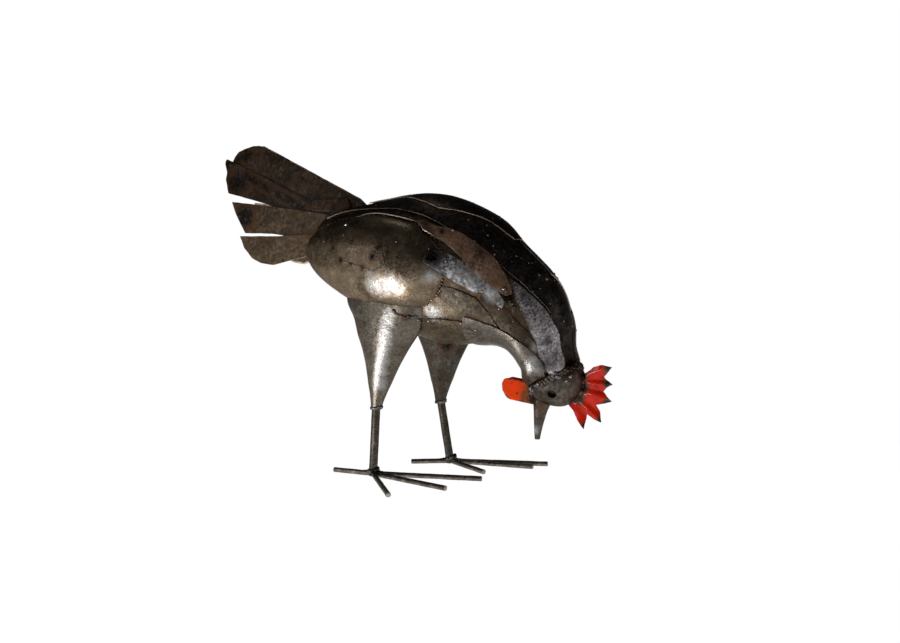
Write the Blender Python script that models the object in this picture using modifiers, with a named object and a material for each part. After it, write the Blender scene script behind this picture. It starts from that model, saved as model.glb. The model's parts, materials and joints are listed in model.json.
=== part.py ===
"""A pecking hen welded from beaten sheet steel and round bar.

Units are metres, +Z is up, +X is the way the hen faces and +Y is its left.
The figure is laid out with the point between its two feet as X = Y = 0. The last step
sets the origin at the middle of its bounding box, on the ground.
The body's own shape is given as millimetres on a hen of the design length, and follows
LENGTH. The stock that it is made from, the bars and the gaps have sizes of their own.
"""

import math

import bmesh
import bpy
from mathutils import Matrix, Vector
from mathutils.bvhtree import BVHTree

LENGTH = 0.534              # overall, from the tail's tip to the comb
DESIGN_LENGTH_MM = 534

SHEET = 0.0012              # steel drum sheet of the plates, blades and comb
LIFT = 0.0010               # how far the first plates stand off the beaten shell under them
PLATE_GAP = 0.0007          # left between plates that lap over each other
GAP = 0.0003                # left between other pieces that are welded to each other

# Bars and legs
TOE_BAR = 0.006
SHANK_BAR = 0.010
THIGH_MOUTH = 0.0126        # across the rolled end that the shank is welded into
STANCE = 0.120              # between the two feet, across
STRIDE = 0.036              # the left foot stands this far ahead of the right one
ANKLE_STANCE = 0.114        # between the two ankles, across
BAR_SIDES = 10
SHANK_SIDES = 12
THIGH_SIDES = 20

# Eyes
EYE_DIAMETER = 0.0085
EYE_DEPTH = 0.006


def mm(value):
    """A millimetre of the design, at this hen's length."""
    return value * LENGTH / DESIGN_LENGTH_MM


# The body and neck are one beaten shell. Each station is a section across it, from tail to
# head: forward, up, half its width, and its reach above and below that centre
BODY_STATIONS = (
    (-146, 276, 0, 0, 0),
    (-131, 272, 21, 29, 33),
    (-99, 267, 40, 47, 53),
    (-54, 260, 55, 62, 68),
    (-8, 250, 66, 76, 77),
    (36, 245, 70, 79, 86),
    (76, 237, 68, 71, 88),
    (110, 220, 61, 59, 77),
    (139, 196, 52, 57, 53),
    (160, 170, 44, 51, 29),
    (175, 144, 37, 35, 22),
    (183, 126, 32, 28, 25),
    (185, 121, 0, 0, 0),
)
BODY_SIDES = 20
STATION_RING_COUNT = 2

# The beaten half egg on each flank: its tip points back, and it dips forward
DOME_CENTRE = (-14, 52, 251)
DOME_HALF = (102, 43, 54)
DOME_TAPER = 0.16
DOME_TILT = math.radians(9)

# A thigh's rolled cone: height above the ankle, radius fore and aft, radius across
THIGH_RINGS = (
    (12, 9, 9),
    (28, 14, 14),
    (50, 21, 19),
    (68, 29, 23),
    (84, 38, 27),
    (104, 47, 28),
    (122, 60, 31),
    (140, 64, 33),
)
LEGS = {
    # side of the hen, ankle forward and up, how far the thigh leans ahead and out at its top,
    # and each toe's length and the angle that it points away from straight ahead, outward
    "right": dict(side=-1, ankle=(-15, 81), lean=(19, -12),
                  toes=dict(middle=(123, 16), inner=(131, -15.5), outer=(126, 49), back=(54, 178))),
    "left": dict(side=1, ankle=(5, 77), lean=(19, -12),
                 toes=dict(middle=(108, 7), inner=(86, -33), outer=(121, 19), back=(49, 216))),
}

HEAD_CENTRE = (190, 0, 119)
HEAD_HALF = (34, 28, 30)
EYE_PLACE = (197, 28, 104)
# The beak's round sections from its root inside the head to its tip: place and radius
BEAK = (
    (175, 0, 112, 9.0),
    (173, 0, 100, 10.5),
    (172, 0, 90, 9.6),
    (170, 0, 80, 7.4),
    (167.5, 0, 62, 4.6),
    (166.5, 0, 50, 3.0),
)
BEAK_SIDES = 12
COMB = (
    (205, 92), (211, 86), (216, 76), (225, 66), (227, 83), (236, 78), (246, 75), (242, 87),
    (238, 94), (248, 96), (258, 99), (246, 109), (251, 114), (259, 118), (250, 122),
    (247, 125), (253, 131), (258, 137), (246, 139), (236, 136), (228, 130), (216, 124),
)
WATTLE_BACK = 123
WATTLE_FRONT = 168
WATTLE_TOP = 117
WATTLE_BOTTOM = 92
WATTLE_HALF_WIDTH = 7
WATTLE_DROP = 6             # how far it falls from its free end to the head
WATTLE_ROUND = 0.22         # the share of its length that its free end's rounding takes
WATTLE_BLUNT = 0.4          # and how much of its full width is left at the tip

# The tail's blades stand in two rows that lean together like a roof: the ridge's two ends,
# how far out each row's top edge is from it, and how much further out each millimetre down is
TAIL_RIDGE = ((-225, 396), (-78, 327))
TAIL_RIDGE_OUT = 2.5
TAIL_SLOPE = 0.19
TAIL_MIDDLE = (-180, 0, 300)
TAIL_BLADES = (
    ((-68, 319), (-77, 327), (-225, 396), (-236, 396), (-248, 393), (-258, 389), (-263, 382),
     (-265, 375), (-250, 366), (-152, 318), (-93, 296)),
    ((-93, 311), (-144, 326), (-178, 340), (-230, 363), (-262, 376), (-273, 380), (-275, 375),
     (-270, 363), (-271, 354), (-265, 336), (-207, 322), (-186, 315), (-108, 293), (-93, 288)),
    ((-93, 300), (-118, 308), (-194, 318), (-257, 325), (-251, 313), (-244, 302), (-232, 285),
     (-189, 284), (-108, 272), (-93, 270)),
    ((-98, 285), (-181, 281), (-238, 281), (-229, 266), (-215, 253), (-201, 247), (-183, 245),
     (-152, 253), (-121, 259), (-98, 262)),
)
COVER_LAYER = 2
TAIL_COVER = ((-139, 313), (-140, 319), (-137, 325), (-90, 327), (-84, 318), (-88, 310))

# Plates beaten to lie on the body, as points of station number and degrees from the top.
# The layer says how many sheets are under a plate
CENTRE_PLATES = {
    "spine_plate": (2, ((2.75, 9), (3.4, 11), (3.9, 14), (4.3, 19), (4.7, 25), (5.0, 29),
                        (5.3, 31), (5.7, 26), (6.3, 16), (6.9, 8))),
    "nape_plate": (0, ((8.2, 14), (8.5, 24), (9.1, 34), (9.6, 38), (10.4, 43), (11.08, 46))),
}
THROAT_PLATE = (1, ((7.25, 113), (7.4, 112), (7.95, 109), (8.6, 101), (9.25, 88), (9.8, 76),
                    (10.4, 68), (10.8, 76)), (10.5, 7.9))
SIDE_PLATES = {
    "back_feather_1": (1, ((1.7, 42), (2.2, 34), (2.8, 26), (3.6, 15), (6.0, 12), (7.0, 10), (7.0, 3),
                           (8.0, 3), (8.13, 12), (8.45, 24), (8.95, 33), (8.2, 43), (7.5, 47), (6.9, 45),
                           (6.3, 48), (5.9, 48), (5.4, 45), (4.7, 41), (4.0, 36), (3.2, 34),
                           (2.6, 33), (2.1, 37))),
    "back_feather_2": (0, ((1.95, 50), (2.2, 40), (3.0, 37), (4.2, 39), (5.1, 47), (4.75, 51),
                           (3.8, 48), (3.0, 48), (2.3, 56))),
    "shoulder_feather": (2, ((4.9, 49), (5.27, 58), (5.81, 61), (6.3, 65.5), (6.77, 70), (7.35, 71),
                             (7.8, 69), (7.98, 62), (7.8, 56), (7.36, 50), (6.94, 45), (6.35, 47),
                             (6.06, 47), (5.5, 50), (5.1, 47))),
    "wing_feather_1": (1, ((5.62, 82), (5.62, 76), (5.76, 71.5), (6.05, 69), (7.3, 67), (8.0, 73),
                           (8.06, 80), (7.94, 81), (7.38, 80), (7.23, 86), (6.75, 88.5), (6.4, 88.5),
                           (6.05, 86.5))),
    "wing_feather_2": (0, ((7.35, 78), (7.4, 90), (7.98, 95), (8.62, 103), (9.5, 92), (9.95, 76),
                           (9.75, 66), (9.3, 70.5), (8.6, 77))),
    "wing_feather_3": (0, ((6.22, 97), (6.12, 105), (7.1, 112.5), (7.9, 110.5), (8.5, 104),
                           (7.9, 96), (7.31, 91.5), (6.5, 95))),
    "neck_feather": (2, ((7.6, 51), (8.13, 62.5), (8.45, 63.5), (9.06, 68), (9.6, 66), (9.95, 70),
                         (10.4, 64), (10.8, 66), (11.05, 60), (11.05, 33), (10.5, 27.5), (9.52, 29),
                         (9.15, 36), (8.23, 46))),
    "belly_plate": (0, ((5.7, 128), (7.2, 121), (8.0, 125), (8.2, 150), (8.2, 178), (7.3, 178),
                        (6.8, 155), (6.0, 140))),
}
PLATE_NEIGHBOURS = {"belly_plate": "thigh", "wing_feather_3": "thigh", "neck_feather": "head"}
PLATE_STEP = (0.5, 9.0)     # a bent plate is cut across this often, in stations and degrees
FLAT = (1000, 1000)         # and a flat one nowhere
REACH_OVER_DOME = 80        # further out than the flank's dome stands from the body
STEEL = {
    "black": ((0.035, 0.03, 0.028), 0.38),
    "brown": ((0.16, 0.10, 0.065), 0.45),
    "umber": ((0.09, 0.06, 0.042), 0.42),
    "grey": ((0.17, 0.15, 0.125), 0.30),
    "bright": ((0.36, 0.36, 0.36), 0.25),
}


def clear_scene():
    for obj in list(bpy.data.objects):
        bpy.data.objects.remove(obj)


def material(name, colour, roughness, metallic=1.0):
    made = bpy.data.materials.new(name)
    made.use_nodes = True
    shader = made.node_tree.nodes["Principled BSDF"]
    shader.inputs["Base Color"].default_value = (*colour, 1)
    shader.inputs["Roughness"].default_value = roughness
    shader.inputs["Metallic"].default_value = metallic
    return made


def steel(name, tone):
    return material(name + " steel", *STEEL[tone])


def add(name, bm, collection, look=None):
    """A new object from a mesh, shaded smooth but for its sharp edges."""
    mesh = bpy.data.meshes.new(name)
    bm.to_mesh(mesh)
    bm.free()
    obj = bpy.data.objects.new(name, mesh)
    collection.objects.link(obj)
    if look:
        mesh.materials.append(look)
    mesh.shade_smooth()
    mesh.set_sharp_from_angle(angle=math.radians(40))
    return obj


def cut(obj, cutters):
    for cutter in cutters:
        mod = obj.modifiers.new("cut by " + cutter.name, "BOOLEAN")
        mod.operation = "DIFFERENCE"
        mod.object = cutter


def thicken(obj, offset):
    mod = obj.modifiers.new("sheet", "SOLIDIFY")
    mod.thickness = SHEET
    mod.offset = offset


def between(values, at):
    """A smooth curve through evenly spaced values."""
    last = len(values) - 1
    at = min(max(at, 0.0), float(last))
    i = min(int(at), last - 1)
    t = at - i
    p1, p2 = values[i], values[i + 1]
    p0 = values[i - 1] if i else 2 * p1 - p2
    p3 = values[i + 2] if i + 2 <= last else 2 * p2 - p1
    bend = 2 * p0 - 5 * p1 + 4 * p2 - p3
    return 0.5 * (2 * p1 + (p2 - p0) * t + bend * t**2 + (3 * p1 - p0 - 3 * p2 + p3) * t**3)


def body_section(at):
    """Centre, upward direction, half width and reach above and below at a station number."""
    x, z, wide, above, below = (mm(between([s[k] for s in BODY_STATIONS], at)) for k in range(5))
    step = 0.05
    ahead = Vector([between([s[k] for s in BODY_STATIONS], min(at + step, len(BODY_STATIONS) - 1))
                    - between([s[k] for s in BODY_STATIONS], max(at - step, 0)) for k in (0, 1)])
    ahead.normalize()
    return Vector((x, 0, z)), Vector((-ahead[1], 0, ahead[0])), wide, above, below


def body_point(at, turn):
    """On the shell at a station number, turned by an angle from the top towards the left."""
    centre, up, wide, above, below = body_section(at)
    reach = above if math.cos(turn) > 0 else below
    across = Vector((0, 1, 0))
    return centre + up * reach * math.cos(turn) + across * wide * math.sin(turn)


def body_normal(at, turn):
    """The way out of the shell at that point."""
    step = 0.02
    along = body_point(at + step, turn) - body_point(at - step, turn)
    around = body_point(at, turn + step) - body_point(at, turn - step)
    normal = along.cross(around).normalized()
    return normal if normal.dot(body_point(at, turn) - body_section(at)[0]) > 0 else -normal


def body_shell(name, collection, look=None, proud=0.0):
    last = len(BODY_STATIONS) - 1
    bm = bmesh.new()
    bmesh.ops.create_uvsphere(bm, u_segments=BODY_SIDES, v_segments=last * STATION_RING_COUNT, radius=1)
    middle = body_section(last / 2)[0]
    for vert in bm.verts:
        at = math.acos(max(-1, min(1, vert.co.z))) / math.pi * last
        if abs(vert.co.z) > 0.9999:
            end = body_section(at)[0]
            vert.co = end + (end - middle).normalized() * proud
        else:
            turn = math.atan2(vert.co.y, vert.co.x)
            vert.co = body_point(at, turn) + body_normal(at, turn) * proud
    bmesh.ops.recalc_face_normals(bm, faces=bm.faces)
    return add(name, bm, collection, look)


def flank_dome(name, side, collection, look=None, proud=0.0):
    bm = bmesh.new()
    bmesh.ops.create_uvsphere(bm, u_segments=24, v_segments=14, radius=1)
    bmesh.ops.rotate(bm, matrix=Matrix.Rotation(math.pi / 2, 3, "Y"), verts=bm.verts)
    for vert in bm.verts:
        swell = 1 + DOME_TAPER * vert.co.x
        half = [mm(h) + proud for h in DOME_HALF]
        vert.co = Vector((vert.co.x * half[0], vert.co.y * half[1] * swell, vert.co.z * half[2] * swell))
    x, y, z = DOME_CENTRE
    place = Matrix.Translation((mm(x), side * mm(y), mm(z)))
    bmesh.ops.transform(bm, matrix=place @ Matrix.Rotation(DOME_TILT, 4, "Y"), verts=bm.verts)
    bmesh.ops.recalc_face_normals(bm, faces=bm.faces)
    return add(name, bm, collection, look)


def ringed(name, rings, sides, collection, look=None):
    """A closed form through level rings of centre, half length and half width, bottom first."""
    bm = bmesh.new()
    last = None
    for number, (centre, half_x, half_y) in enumerate(rings):
        made = bmesh.ops.create_circle(bm, cap_ends=number in (0, len(rings) - 1), radius=1, segments=sides)
        size = Matrix.Diagonal((half_x, half_y, 1, 1))
        bmesh.ops.transform(bm, matrix=Matrix.Translation(centre) @ size, verts=made["verts"])
        edges = {edge for vert in made["verts"] for edge in vert.link_edges}
        if last:
            bmesh.ops.bridge_loops(bm, edges=list(edges | last))
        last = edges
    bmesh.ops.recalc_face_normals(bm, faces=bm.faces)
    return add(name, bm, collection, look)


def bar(name, start, end, diameter, sides, collection, look=None, roll=0.0):
    """A round bar between two points."""
    along = end - start
    bm = bmesh.new()
    bmesh.ops.create_cone(bm, cap_ends=True, segments=sides, radius1=diameter / 2, radius2=diameter / 2,
                          depth=along.length)
    turn = along.to_track_quat("Z", "Y").to_matrix().to_4x4() @ Matrix.Rotation(roll, 4, "Z")
    bmesh.ops.transform(bm, matrix=Matrix.Translation((start + end) / 2) @ turn, verts=bm.verts)
    bmesh.ops.recalc_face_normals(bm, faces=bm.faces)
    return add(name, bm, collection, look)


def leg(name, spec, hen, cutters, carriers):
    """Thigh, shank and toes of one leg. Returns the cutter that clears its thigh."""
    side = spec["side"]
    ankle = Vector((mm(spec["ankle"][0]), side * ANKLE_STANCE / 2, mm(spec["ankle"][1])))
    foot = Vector((side * STRIDE / 2, side * STANCE / 2, 0))
    top = THIGH_RINGS[-1][0]
    for target, extra in (("thigh_" + name, 0), ("thigh_cutter_" + name, GAP)):
        rings = [(ankle, THIGH_MOUTH / 2 + extra, THIGH_MOUTH / 2 + extra)]
        for height, half_x, half_y in THIGH_RINGS:
            share = height / top
            lean = Vector((mm(spec["lean"][0]) * share, side * mm(spec["lean"][1]) * share, mm(height)))
            rings.append((ankle + lean, mm(half_x) + extra, mm(half_y) + extra))
        if extra:
            thigh_cutter = ringed(target, rings, THIGH_SIDES, cutters)
        else:
            cut(ringed(target, rings, THIGH_SIDES, hen, steel("thigh " + name, "grey")), carriers)

    shank_top = ankle - Vector((0, 0, GAP))
    for target, extra in (("shank_" + name, 0), ("shank_cutter_" + name, GAP)):
        half = SHANK_BAR / 2 + extra
        under = Vector((0, 0, -extra))
        shank = ringed(target, [(foot + under, half, half), (shank_top, half, half)], SHANK_SIDES,
                       cutters if extra else hen, None if extra else steel("shank " + name, "umber"))
    flat_down = math.pi / BAR_SIDES
    centre_up = Vector((0, 0, TOE_BAR / 2 * math.cos(flat_down)))
    toe_cutter = None
    for toe, (length, splay) in spec["toes"].items():
        turn = side * math.radians(splay)
        end = foot + centre_up + mm(length) * Vector((math.cos(turn), math.sin(turn), 0))
        made = bar(f"toe_{name}_{toe}", foot + centre_up, end, TOE_BAR, BAR_SIDES, hen,
                   steel(f"toe {name} {toe}", "umber"), flat_down)
        cut(made, [shank] + ([toe_cutter] if toe in ("inner", "outer") else []))
        if toe == "middle":
            toe_cutter = bar(f"toe_cutter_{name}", foot + centre_up, end, TOE_BAR + 2 * GAP, BAR_SIDES,
                             cutters, roll=flat_down)
    return thigh_cutter


def head(name, collection, look=None, proud=0.0):
    bm = bmesh.new()
    bmesh.ops.create_uvsphere(bm, u_segments=20, v_segments=14, radius=1)
    size = Matrix.Diagonal([mm(h) + proud for h in HEAD_HALF] + [1])
    bmesh.ops.transform(bm, matrix=Matrix.Translation([mm(c) for c in HEAD_CENTRE]) @ size, verts=bm.verts)
    bmesh.ops.recalc_face_normals(bm, faces=bm.faces)
    return add(name, bm, collection, look)


def eye_drill(side, cutters):
    """A drill on the line from the middle of the head out through the eye."""
    middle = Vector([mm(c) for c in HEAD_CENTRE])
    place = Vector((mm(EYE_PLACE[0]), side * mm(EYE_PLACE[1]), mm(EYE_PLACE[2])))
    out = (place - middle).normalized()
    size = Vector([mm(h) for h in HEAD_HALF])
    surface = middle + out / Vector([o / s for o, s in zip(out, size)]).length
    return bar(f"eye_drill_{'right' if side < 0 else 'left'}", surface - out * EYE_DEPTH,
               surface + out * EYE_DEPTH, EYE_DIAMETER, SHANK_SIDES, cutters)


def beak(name, collection, look=None, proud=0.0):
    rings = [(Vector((mm(x), mm(y), mm(z))), mm(r) + proud, mm(r) + proud) for x, y, z, r in reversed(BEAK)]
    rings[-1][0].z += proud
    return ringed(name, rings, BEAK_SIDES, collection, look)


def cut_sheet(outline, step):
    """A flat sheet of the outline, cut across on a grid so that it can be bent."""
    bm = bmesh.new()
    bm.faces.new([bm.verts.new((u, v, 0)) for u, v in outline])
    for axis in (0, 1):
        low, high = (pick(p[axis] for p in outline) for pick in (min, max))
        normal = Vector((1 - axis, axis, 0))
        for line in range(math.ceil(low / step[axis]), math.floor(high / step[axis]) + 1):
            bmesh.ops.bisect_plane(bm, geom=bm.verts[:] + bm.edges[:] + bm.faces[:],
                                   plane_co=normal * line * step[axis], plane_no=normal)
    return bm


def face_out(bm, middle):
    """Turn an open sheet so that its faces look away from a point."""
    bmesh.ops.recalc_face_normals(bm, faces=bm.faces)
    bm.normal_update()
    outward = sum(f.normal.dot(f.calc_center_median() - middle) * f.calc_area() for f in bm.faces)
    if outward < 0:
        bmesh.ops.reverse_faces(bm, faces=bm.faces)


def drape(name, outline, layer, domes, collection, look, side=1):
    """A plate beaten to the body, and over the flank's dome where it crosses it."""
    bm = cut_sheet(outline, PLATE_STEP)
    lift = LIFT + layer * (SHEET + PLATE_GAP)
    far = mm(REACH_OVER_DOME)
    middle = Vector()
    for vert in bm.verts:
        at, turn = vert.co.x, side * math.radians(vert.co.y)
        inner = body_point(at, turn)
        out = body_normal(at, turn)
        start = inner + out * far
        hits = [tree.ray_cast(start, -out, far)[3] for tree in domes]
        proud = max([far - distance for distance in hits if distance is not None], default=0)
        vert.co = inner + out * (max(proud, 0) + lift)
        middle += body_section(at)[0]
    face_out(bm, middle / len(bm.verts))
    obj = add(name, bm, collection, look)
    thicken(obj, 1)
    return obj


def tail_blade(name, outline, side, layer, collection, look):
    """A blade of the tail, in the leaning plane of its row."""
    bm = cut_sheet(outline, FLAT)
    top, root = TAIL_RIDGE
    for vert in bm.verts:
        x, z = vert.co.x, vert.co.y
        ridge = top[1] + (x - top[0]) * (root[1] - top[1]) / (root[0] - top[0])
        y = mm(TAIL_RIDGE_OUT + (ridge - z) * TAIL_SLOPE) + layer * (SHEET + GAP)
        vert.co = Vector((mm(x), side * y, mm(z)))
    face_out(bm, Vector([mm(c) for c in TAIL_MIDDLE]))
    obj = add(name, bm, collection, look)
    thicken(obj, 1)
    return obj


def comb(collection, look):
    bm = cut_sheet(COMB, FLAT)
    for vert in bm.verts:
        vert.co = Vector((mm(vert.co.x), 0, mm(vert.co.y)))
    obj = add("comb", bm, collection, look)
    thicken(obj, 0)
    return obj


def wattle(collection, look):
    """A painted strip folded lengthwise into a trough, with a round end."""
    bm = bmesh.new()
    bmesh.ops.create_grid(bm, x_segments=8, y_segments=10, size=1)
    for vert in bm.verts:
        along, round_it = (vert.co.x + 1) / 2, vert.co.y * math.pi / 2
        into_round = 1 - min(along / WATTLE_ROUND, 1)
        shrink = max(math.sqrt(1 - into_round**2), WATTLE_BLUNT)
        x = WATTLE_BACK + (WATTLE_FRONT - WATTLE_BACK) * along
        middle = (WATTLE_TOP + WATTLE_BOTTOM) / 2 + WATTLE_DROP * (0.5 - along)
        height = (WATTLE_TOP - WATTLE_BOTTOM) * shrink
        y = WATTLE_HALF_WIDTH * shrink * math.sin(round_it)
        z = middle + height * (0.5 - math.cos(round_it))
        vert.co = Vector((mm(x), mm(y), mm(z)))
    bmesh.ops.recalc_face_normals(bm, faces=bm.faces)
    obj = add("wattle", bm, collection, look)
    thicken(obj, 0)
    return obj


def both_sides(points):
    """An outline for a plate across the back from its edge on one side."""
    return list(points) + [(at, -turn) for at, turn in reversed(points)]


def stand_on_origin(hen, cutters):
    """Hang everything on an empty that brings the middle of the box's base to the origin."""
    root = bpy.data.objects.new("hen", None)
    bpy.context.scene.collection.objects.link(root)
    bpy.context.view_layer.update()
    graph = bpy.context.evaluated_depsgraph_get()
    corners = [Vector(corner) for obj in hen.objects for corner in obj.evaluated_get(graph).bound_box]
    low = Vector([min(c[axis] for c in corners) for axis in range(3)])
    high = Vector([max(c[axis] for c in corners) for axis in range(3)])
    for obj in list(hen.objects) + list(cutters.objects):
        obj.parent = root
    root.location = (-(low.x + high.x) / 2, -(low.y + high.y) / 2, 0)


def build():
    clear_scene()
    hen = bpy.data.collections.new("hen")
    cutters = bpy.data.collections.new("cutters")
    for collection in (hen, cutters):
        bpy.context.scene.collection.children.link(collection)

    body_shell("body_shell", hen, steel("body", "grey"))
    shell_cutter = body_shell("body_cutter", cutters, proud=GAP)
    plates_thick = LIFT + 2 * SHEET + PLATE_GAP
    plated_cutter = body_shell("plated_body_cutter", cutters, proud=plates_thick + PLATE_GAP)
    head_cutter = head("head_cutter", cutters, proud=GAP)
    sides = {"right": -1, "left": 1}
    domes = []
    dome_cutters = {}
    for name, side in sides.items():
        dome = flank_dome("flank_dome_" + name, side, hen, steel("dome " + name, "grey"))
        cut(dome, [shell_cutter])
        dome_cutters[name] = flank_dome("dome_cutter_" + name, side, cutters, proud=GAP)
        form = flank_dome("dome_form_" + name, side, cutters, proud=LIFT)
        bpy.context.view_layer.update()
        domes.append(BVHTree.FromObject(form, bpy.context.evaluated_depsgraph_get()))
    thigh_cutters = {name: leg(name, spec, hen, cutters, [shell_cutter, dome_cutters[name]])
                     for name, spec in LEGS.items()}

    skull = head("head_shell", hen, steel("head", "umber"))
    cut(skull, [shell_cutter] + [eye_drill(side, cutters) for side in (-1, 1)])
    beak_cutter = beak("beak_cutter", cutters, proud=GAP)
    cut(beak("beak", hen, steel("beak", "umber")), [head_cutter, shell_cutter])
    cut(comb(hen, material("comb red paint", (0.70, 0.03, 0.015), 0.3, 0.0)),
        [head_cutter, plated_cutter])
    cut(wattle(hen, material("wattle orange paint", (0.75, 0.12, 0.02), 0.5, 0.0)),
        [head_cutter, plated_cutter, beak_cutter])

    for name, side in sides.items():
        for number, outline in enumerate(TAIL_BLADES, 1):
            tone = "black" if number < 3 else "brown"
            blade = tail_blade(f"tail_feather_{name}_{number}", outline, side, number - 1, hen,
                               steel(f"tail feather {name} {number}", tone))
            cut(blade, [shell_cutter, dome_cutters[name]])
        cover = tail_blade("tail_cover_" + name, TAIL_COVER, side, COVER_LAYER, hen,
                           steel("tail cover " + name, "black"))
        cut(cover, [shell_cutter])
    for name, (layer, edge) in CENTRE_PLATES.items():
        made = drape(name, both_sides(edge), layer, domes, hen, steel(name, "black"))
        if name == "nape_plate":
            cut(made, [head_cutter])
    layer, edge, keel = THROAT_PLATE
    under = [(at, 360 - turn) for at, turn in reversed(edge)]
    throat_outline = list(edge) + [(keel[0], 180)] + under + [(keel[1], 180)]
    throat = drape("throat_plate", throat_outline, layer, domes, hen, steel("throat plate", "grey"))
    cut(throat, [head_cutter])
    for plate, (layer, outline) in SIDE_PLATES.items():
        for name, side in sides.items():
            number = plate[-2:] if plate[-1].isdigit() else ""
            plate_name = plate.removesuffix(number) + "_" + name + number
            made = drape(plate_name, outline, layer, domes, hen, steel(plate_name, "umber"), side)
            if plate in PLATE_NEIGHBOURS:
                cut(made, [thigh_cutters[name] if PLATE_NEIGHBOURS[plate] == "thigh" else head_cutter])

    stand_on_origin(hen, cutters)
    for obj in cutters.objects:
        obj.hide_render = True
        obj.display_type = "WIRE"


build()
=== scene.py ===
import json
import math
import random

import bmesh
import bpy
import numpy
from mathutils import Matrix, Vector, noise
from mathutils.bvhtree import BVHTree
from mathutils.kdtree import KDTree


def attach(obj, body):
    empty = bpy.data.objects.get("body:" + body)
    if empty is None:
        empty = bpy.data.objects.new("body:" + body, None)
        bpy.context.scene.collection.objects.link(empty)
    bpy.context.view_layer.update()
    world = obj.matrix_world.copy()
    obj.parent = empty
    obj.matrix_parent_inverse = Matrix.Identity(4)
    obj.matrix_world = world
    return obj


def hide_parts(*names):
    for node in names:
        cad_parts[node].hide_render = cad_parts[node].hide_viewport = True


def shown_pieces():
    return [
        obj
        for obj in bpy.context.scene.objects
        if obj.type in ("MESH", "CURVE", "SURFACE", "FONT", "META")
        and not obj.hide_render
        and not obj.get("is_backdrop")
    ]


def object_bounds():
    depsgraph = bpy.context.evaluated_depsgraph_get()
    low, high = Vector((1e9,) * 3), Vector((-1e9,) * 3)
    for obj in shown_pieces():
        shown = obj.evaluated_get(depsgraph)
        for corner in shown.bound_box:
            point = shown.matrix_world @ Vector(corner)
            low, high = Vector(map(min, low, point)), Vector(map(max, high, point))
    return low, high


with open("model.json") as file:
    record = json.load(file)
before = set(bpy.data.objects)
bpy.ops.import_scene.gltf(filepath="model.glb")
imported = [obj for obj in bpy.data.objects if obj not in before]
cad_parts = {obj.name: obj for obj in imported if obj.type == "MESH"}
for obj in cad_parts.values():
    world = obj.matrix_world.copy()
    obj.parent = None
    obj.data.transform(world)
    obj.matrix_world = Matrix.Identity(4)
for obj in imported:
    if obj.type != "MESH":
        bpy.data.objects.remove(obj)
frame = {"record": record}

cad_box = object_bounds()

# The body and neck
# Old drum sheet, cut in two halves, beaten to the shape of a hen and welded shut along the
# back and the belly. The hammer's dents are left in it, and it is browned by heat and oiled.
MM = 0.001
foot_mounts = frame["record"]["mounts"]
between_feet = sum((Vector(mount["pos_m"]) for mount in foot_mounts), Vector()) / len(foot_mounts)
# Sections across the body from tail to head, in millimetres: forward and up from the middle
# between the feet, half its width, and its reach above and below
BODY_STATIONS = (
    (-146, 276, 0, 0, 0),
    (-131, 272, 21, 29, 33),
    (-99, 267, 40, 47, 53),
    (-54, 260, 55, 62, 68),
    (-8, 250, 66, 76, 77),
    (36, 245, 70, 79, 86),
    (76, 237, 68, 71, 88),
    (110, 220, 61, 59, 77),
    (139, 196, 52, 56.5, 53),
    (160, 170, 44, 48, 29),
    (175, 144, 37, 31, 22),
    (183, 126, 32, 26, 25),
    (185, 121, 0, 0, 0),
)
STATION_COLUMNS = tuple(zip(*BODY_STATIONS))
LAST_STATION = len(BODY_STATIONS) - 1
SLOPE_STEP = 0.05
BROAD_DENT = 48 * MM
BROAD_DEPTH = 1.1 * MM
HAMMER_FACE = 15 * MM
HAMMER_DEPTH = 0.5 * MM
HAMMER_MIDDLE = 0.45
# Noise that gives a direction starts from the clock, and differs each run, unless it has a seed
NOISE_SEED = 7
noise.seed_set(NOISE_SEED)
# Where plates are tacked down with a drop of weld: station, degrees from the top, size in mm
TACKS = (
    (5.98, 29.5, 2.2), (6.31, 22.5, 1.8), (7.27, 25.5, 2.0), (7.94, 20.5, 2.4), (8.1, 14.5, 3.2),
    (5.23, 27.5, 1.6), (5.9, 48.5, 2.4), (4.73, 46.5, 1.8), (6.94, 42.5, 2.6), (5.27, 57.5, 2.0),
    (6.1, 75.5, 2.6), (5.62, 71.5, 2.0), (7.44, 47.5, 2.0), (7.73, 63.5, 3.4), (7.94, 66.5, 3.8),
    (8.15, 68.0, 3.4), (8.3, 72.5, 2.6), (7.35, 80.5, 2.6), (8.02, 83.0, 2.2), (7.31, 91.5, 2.8),
    (9.06, 69.5, 2.4), (9.65, 64.5, 2.2), (9.48, 31.5, 2.2), (3.2, 36.0, 2.0), (2.3, 48.0, 2.2),
    (7.27, 122.5, 2.4), (7.81, 124.0, 2.0), (5.81, 129.0, 2.2), (6.2, 100.0, 2.0), (8.45, 102.5, 2.4),
)


def in_place(forward, left, up):
    """A point given in millimetres from the middle between the feet."""
    return between_feet + Vector((forward, left, up)) * MM


def smooth_between(values, at):
    """A smooth curve through evenly spaced values."""
    last = len(values) - 1
    at = min(max(at, 0.0), float(last))
    i = min(int(at), last - 1)
    t = at - i
    p1, p2 = values[i], values[i + 1]
    p0 = values[i - 1] if i else 2 * p1 - p2
    p3 = values[i + 2] if i + 2 <= last else 2 * p2 - p1
    bend = 2 * p0 - 5 * p1 + 4 * p2 - p3
    return 0.5 * (2 * p1 + (p2 - p0) * t + bend * t**2 + (3 * p1 - p0 - 3 * p2 + p3) * t**3)


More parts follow.
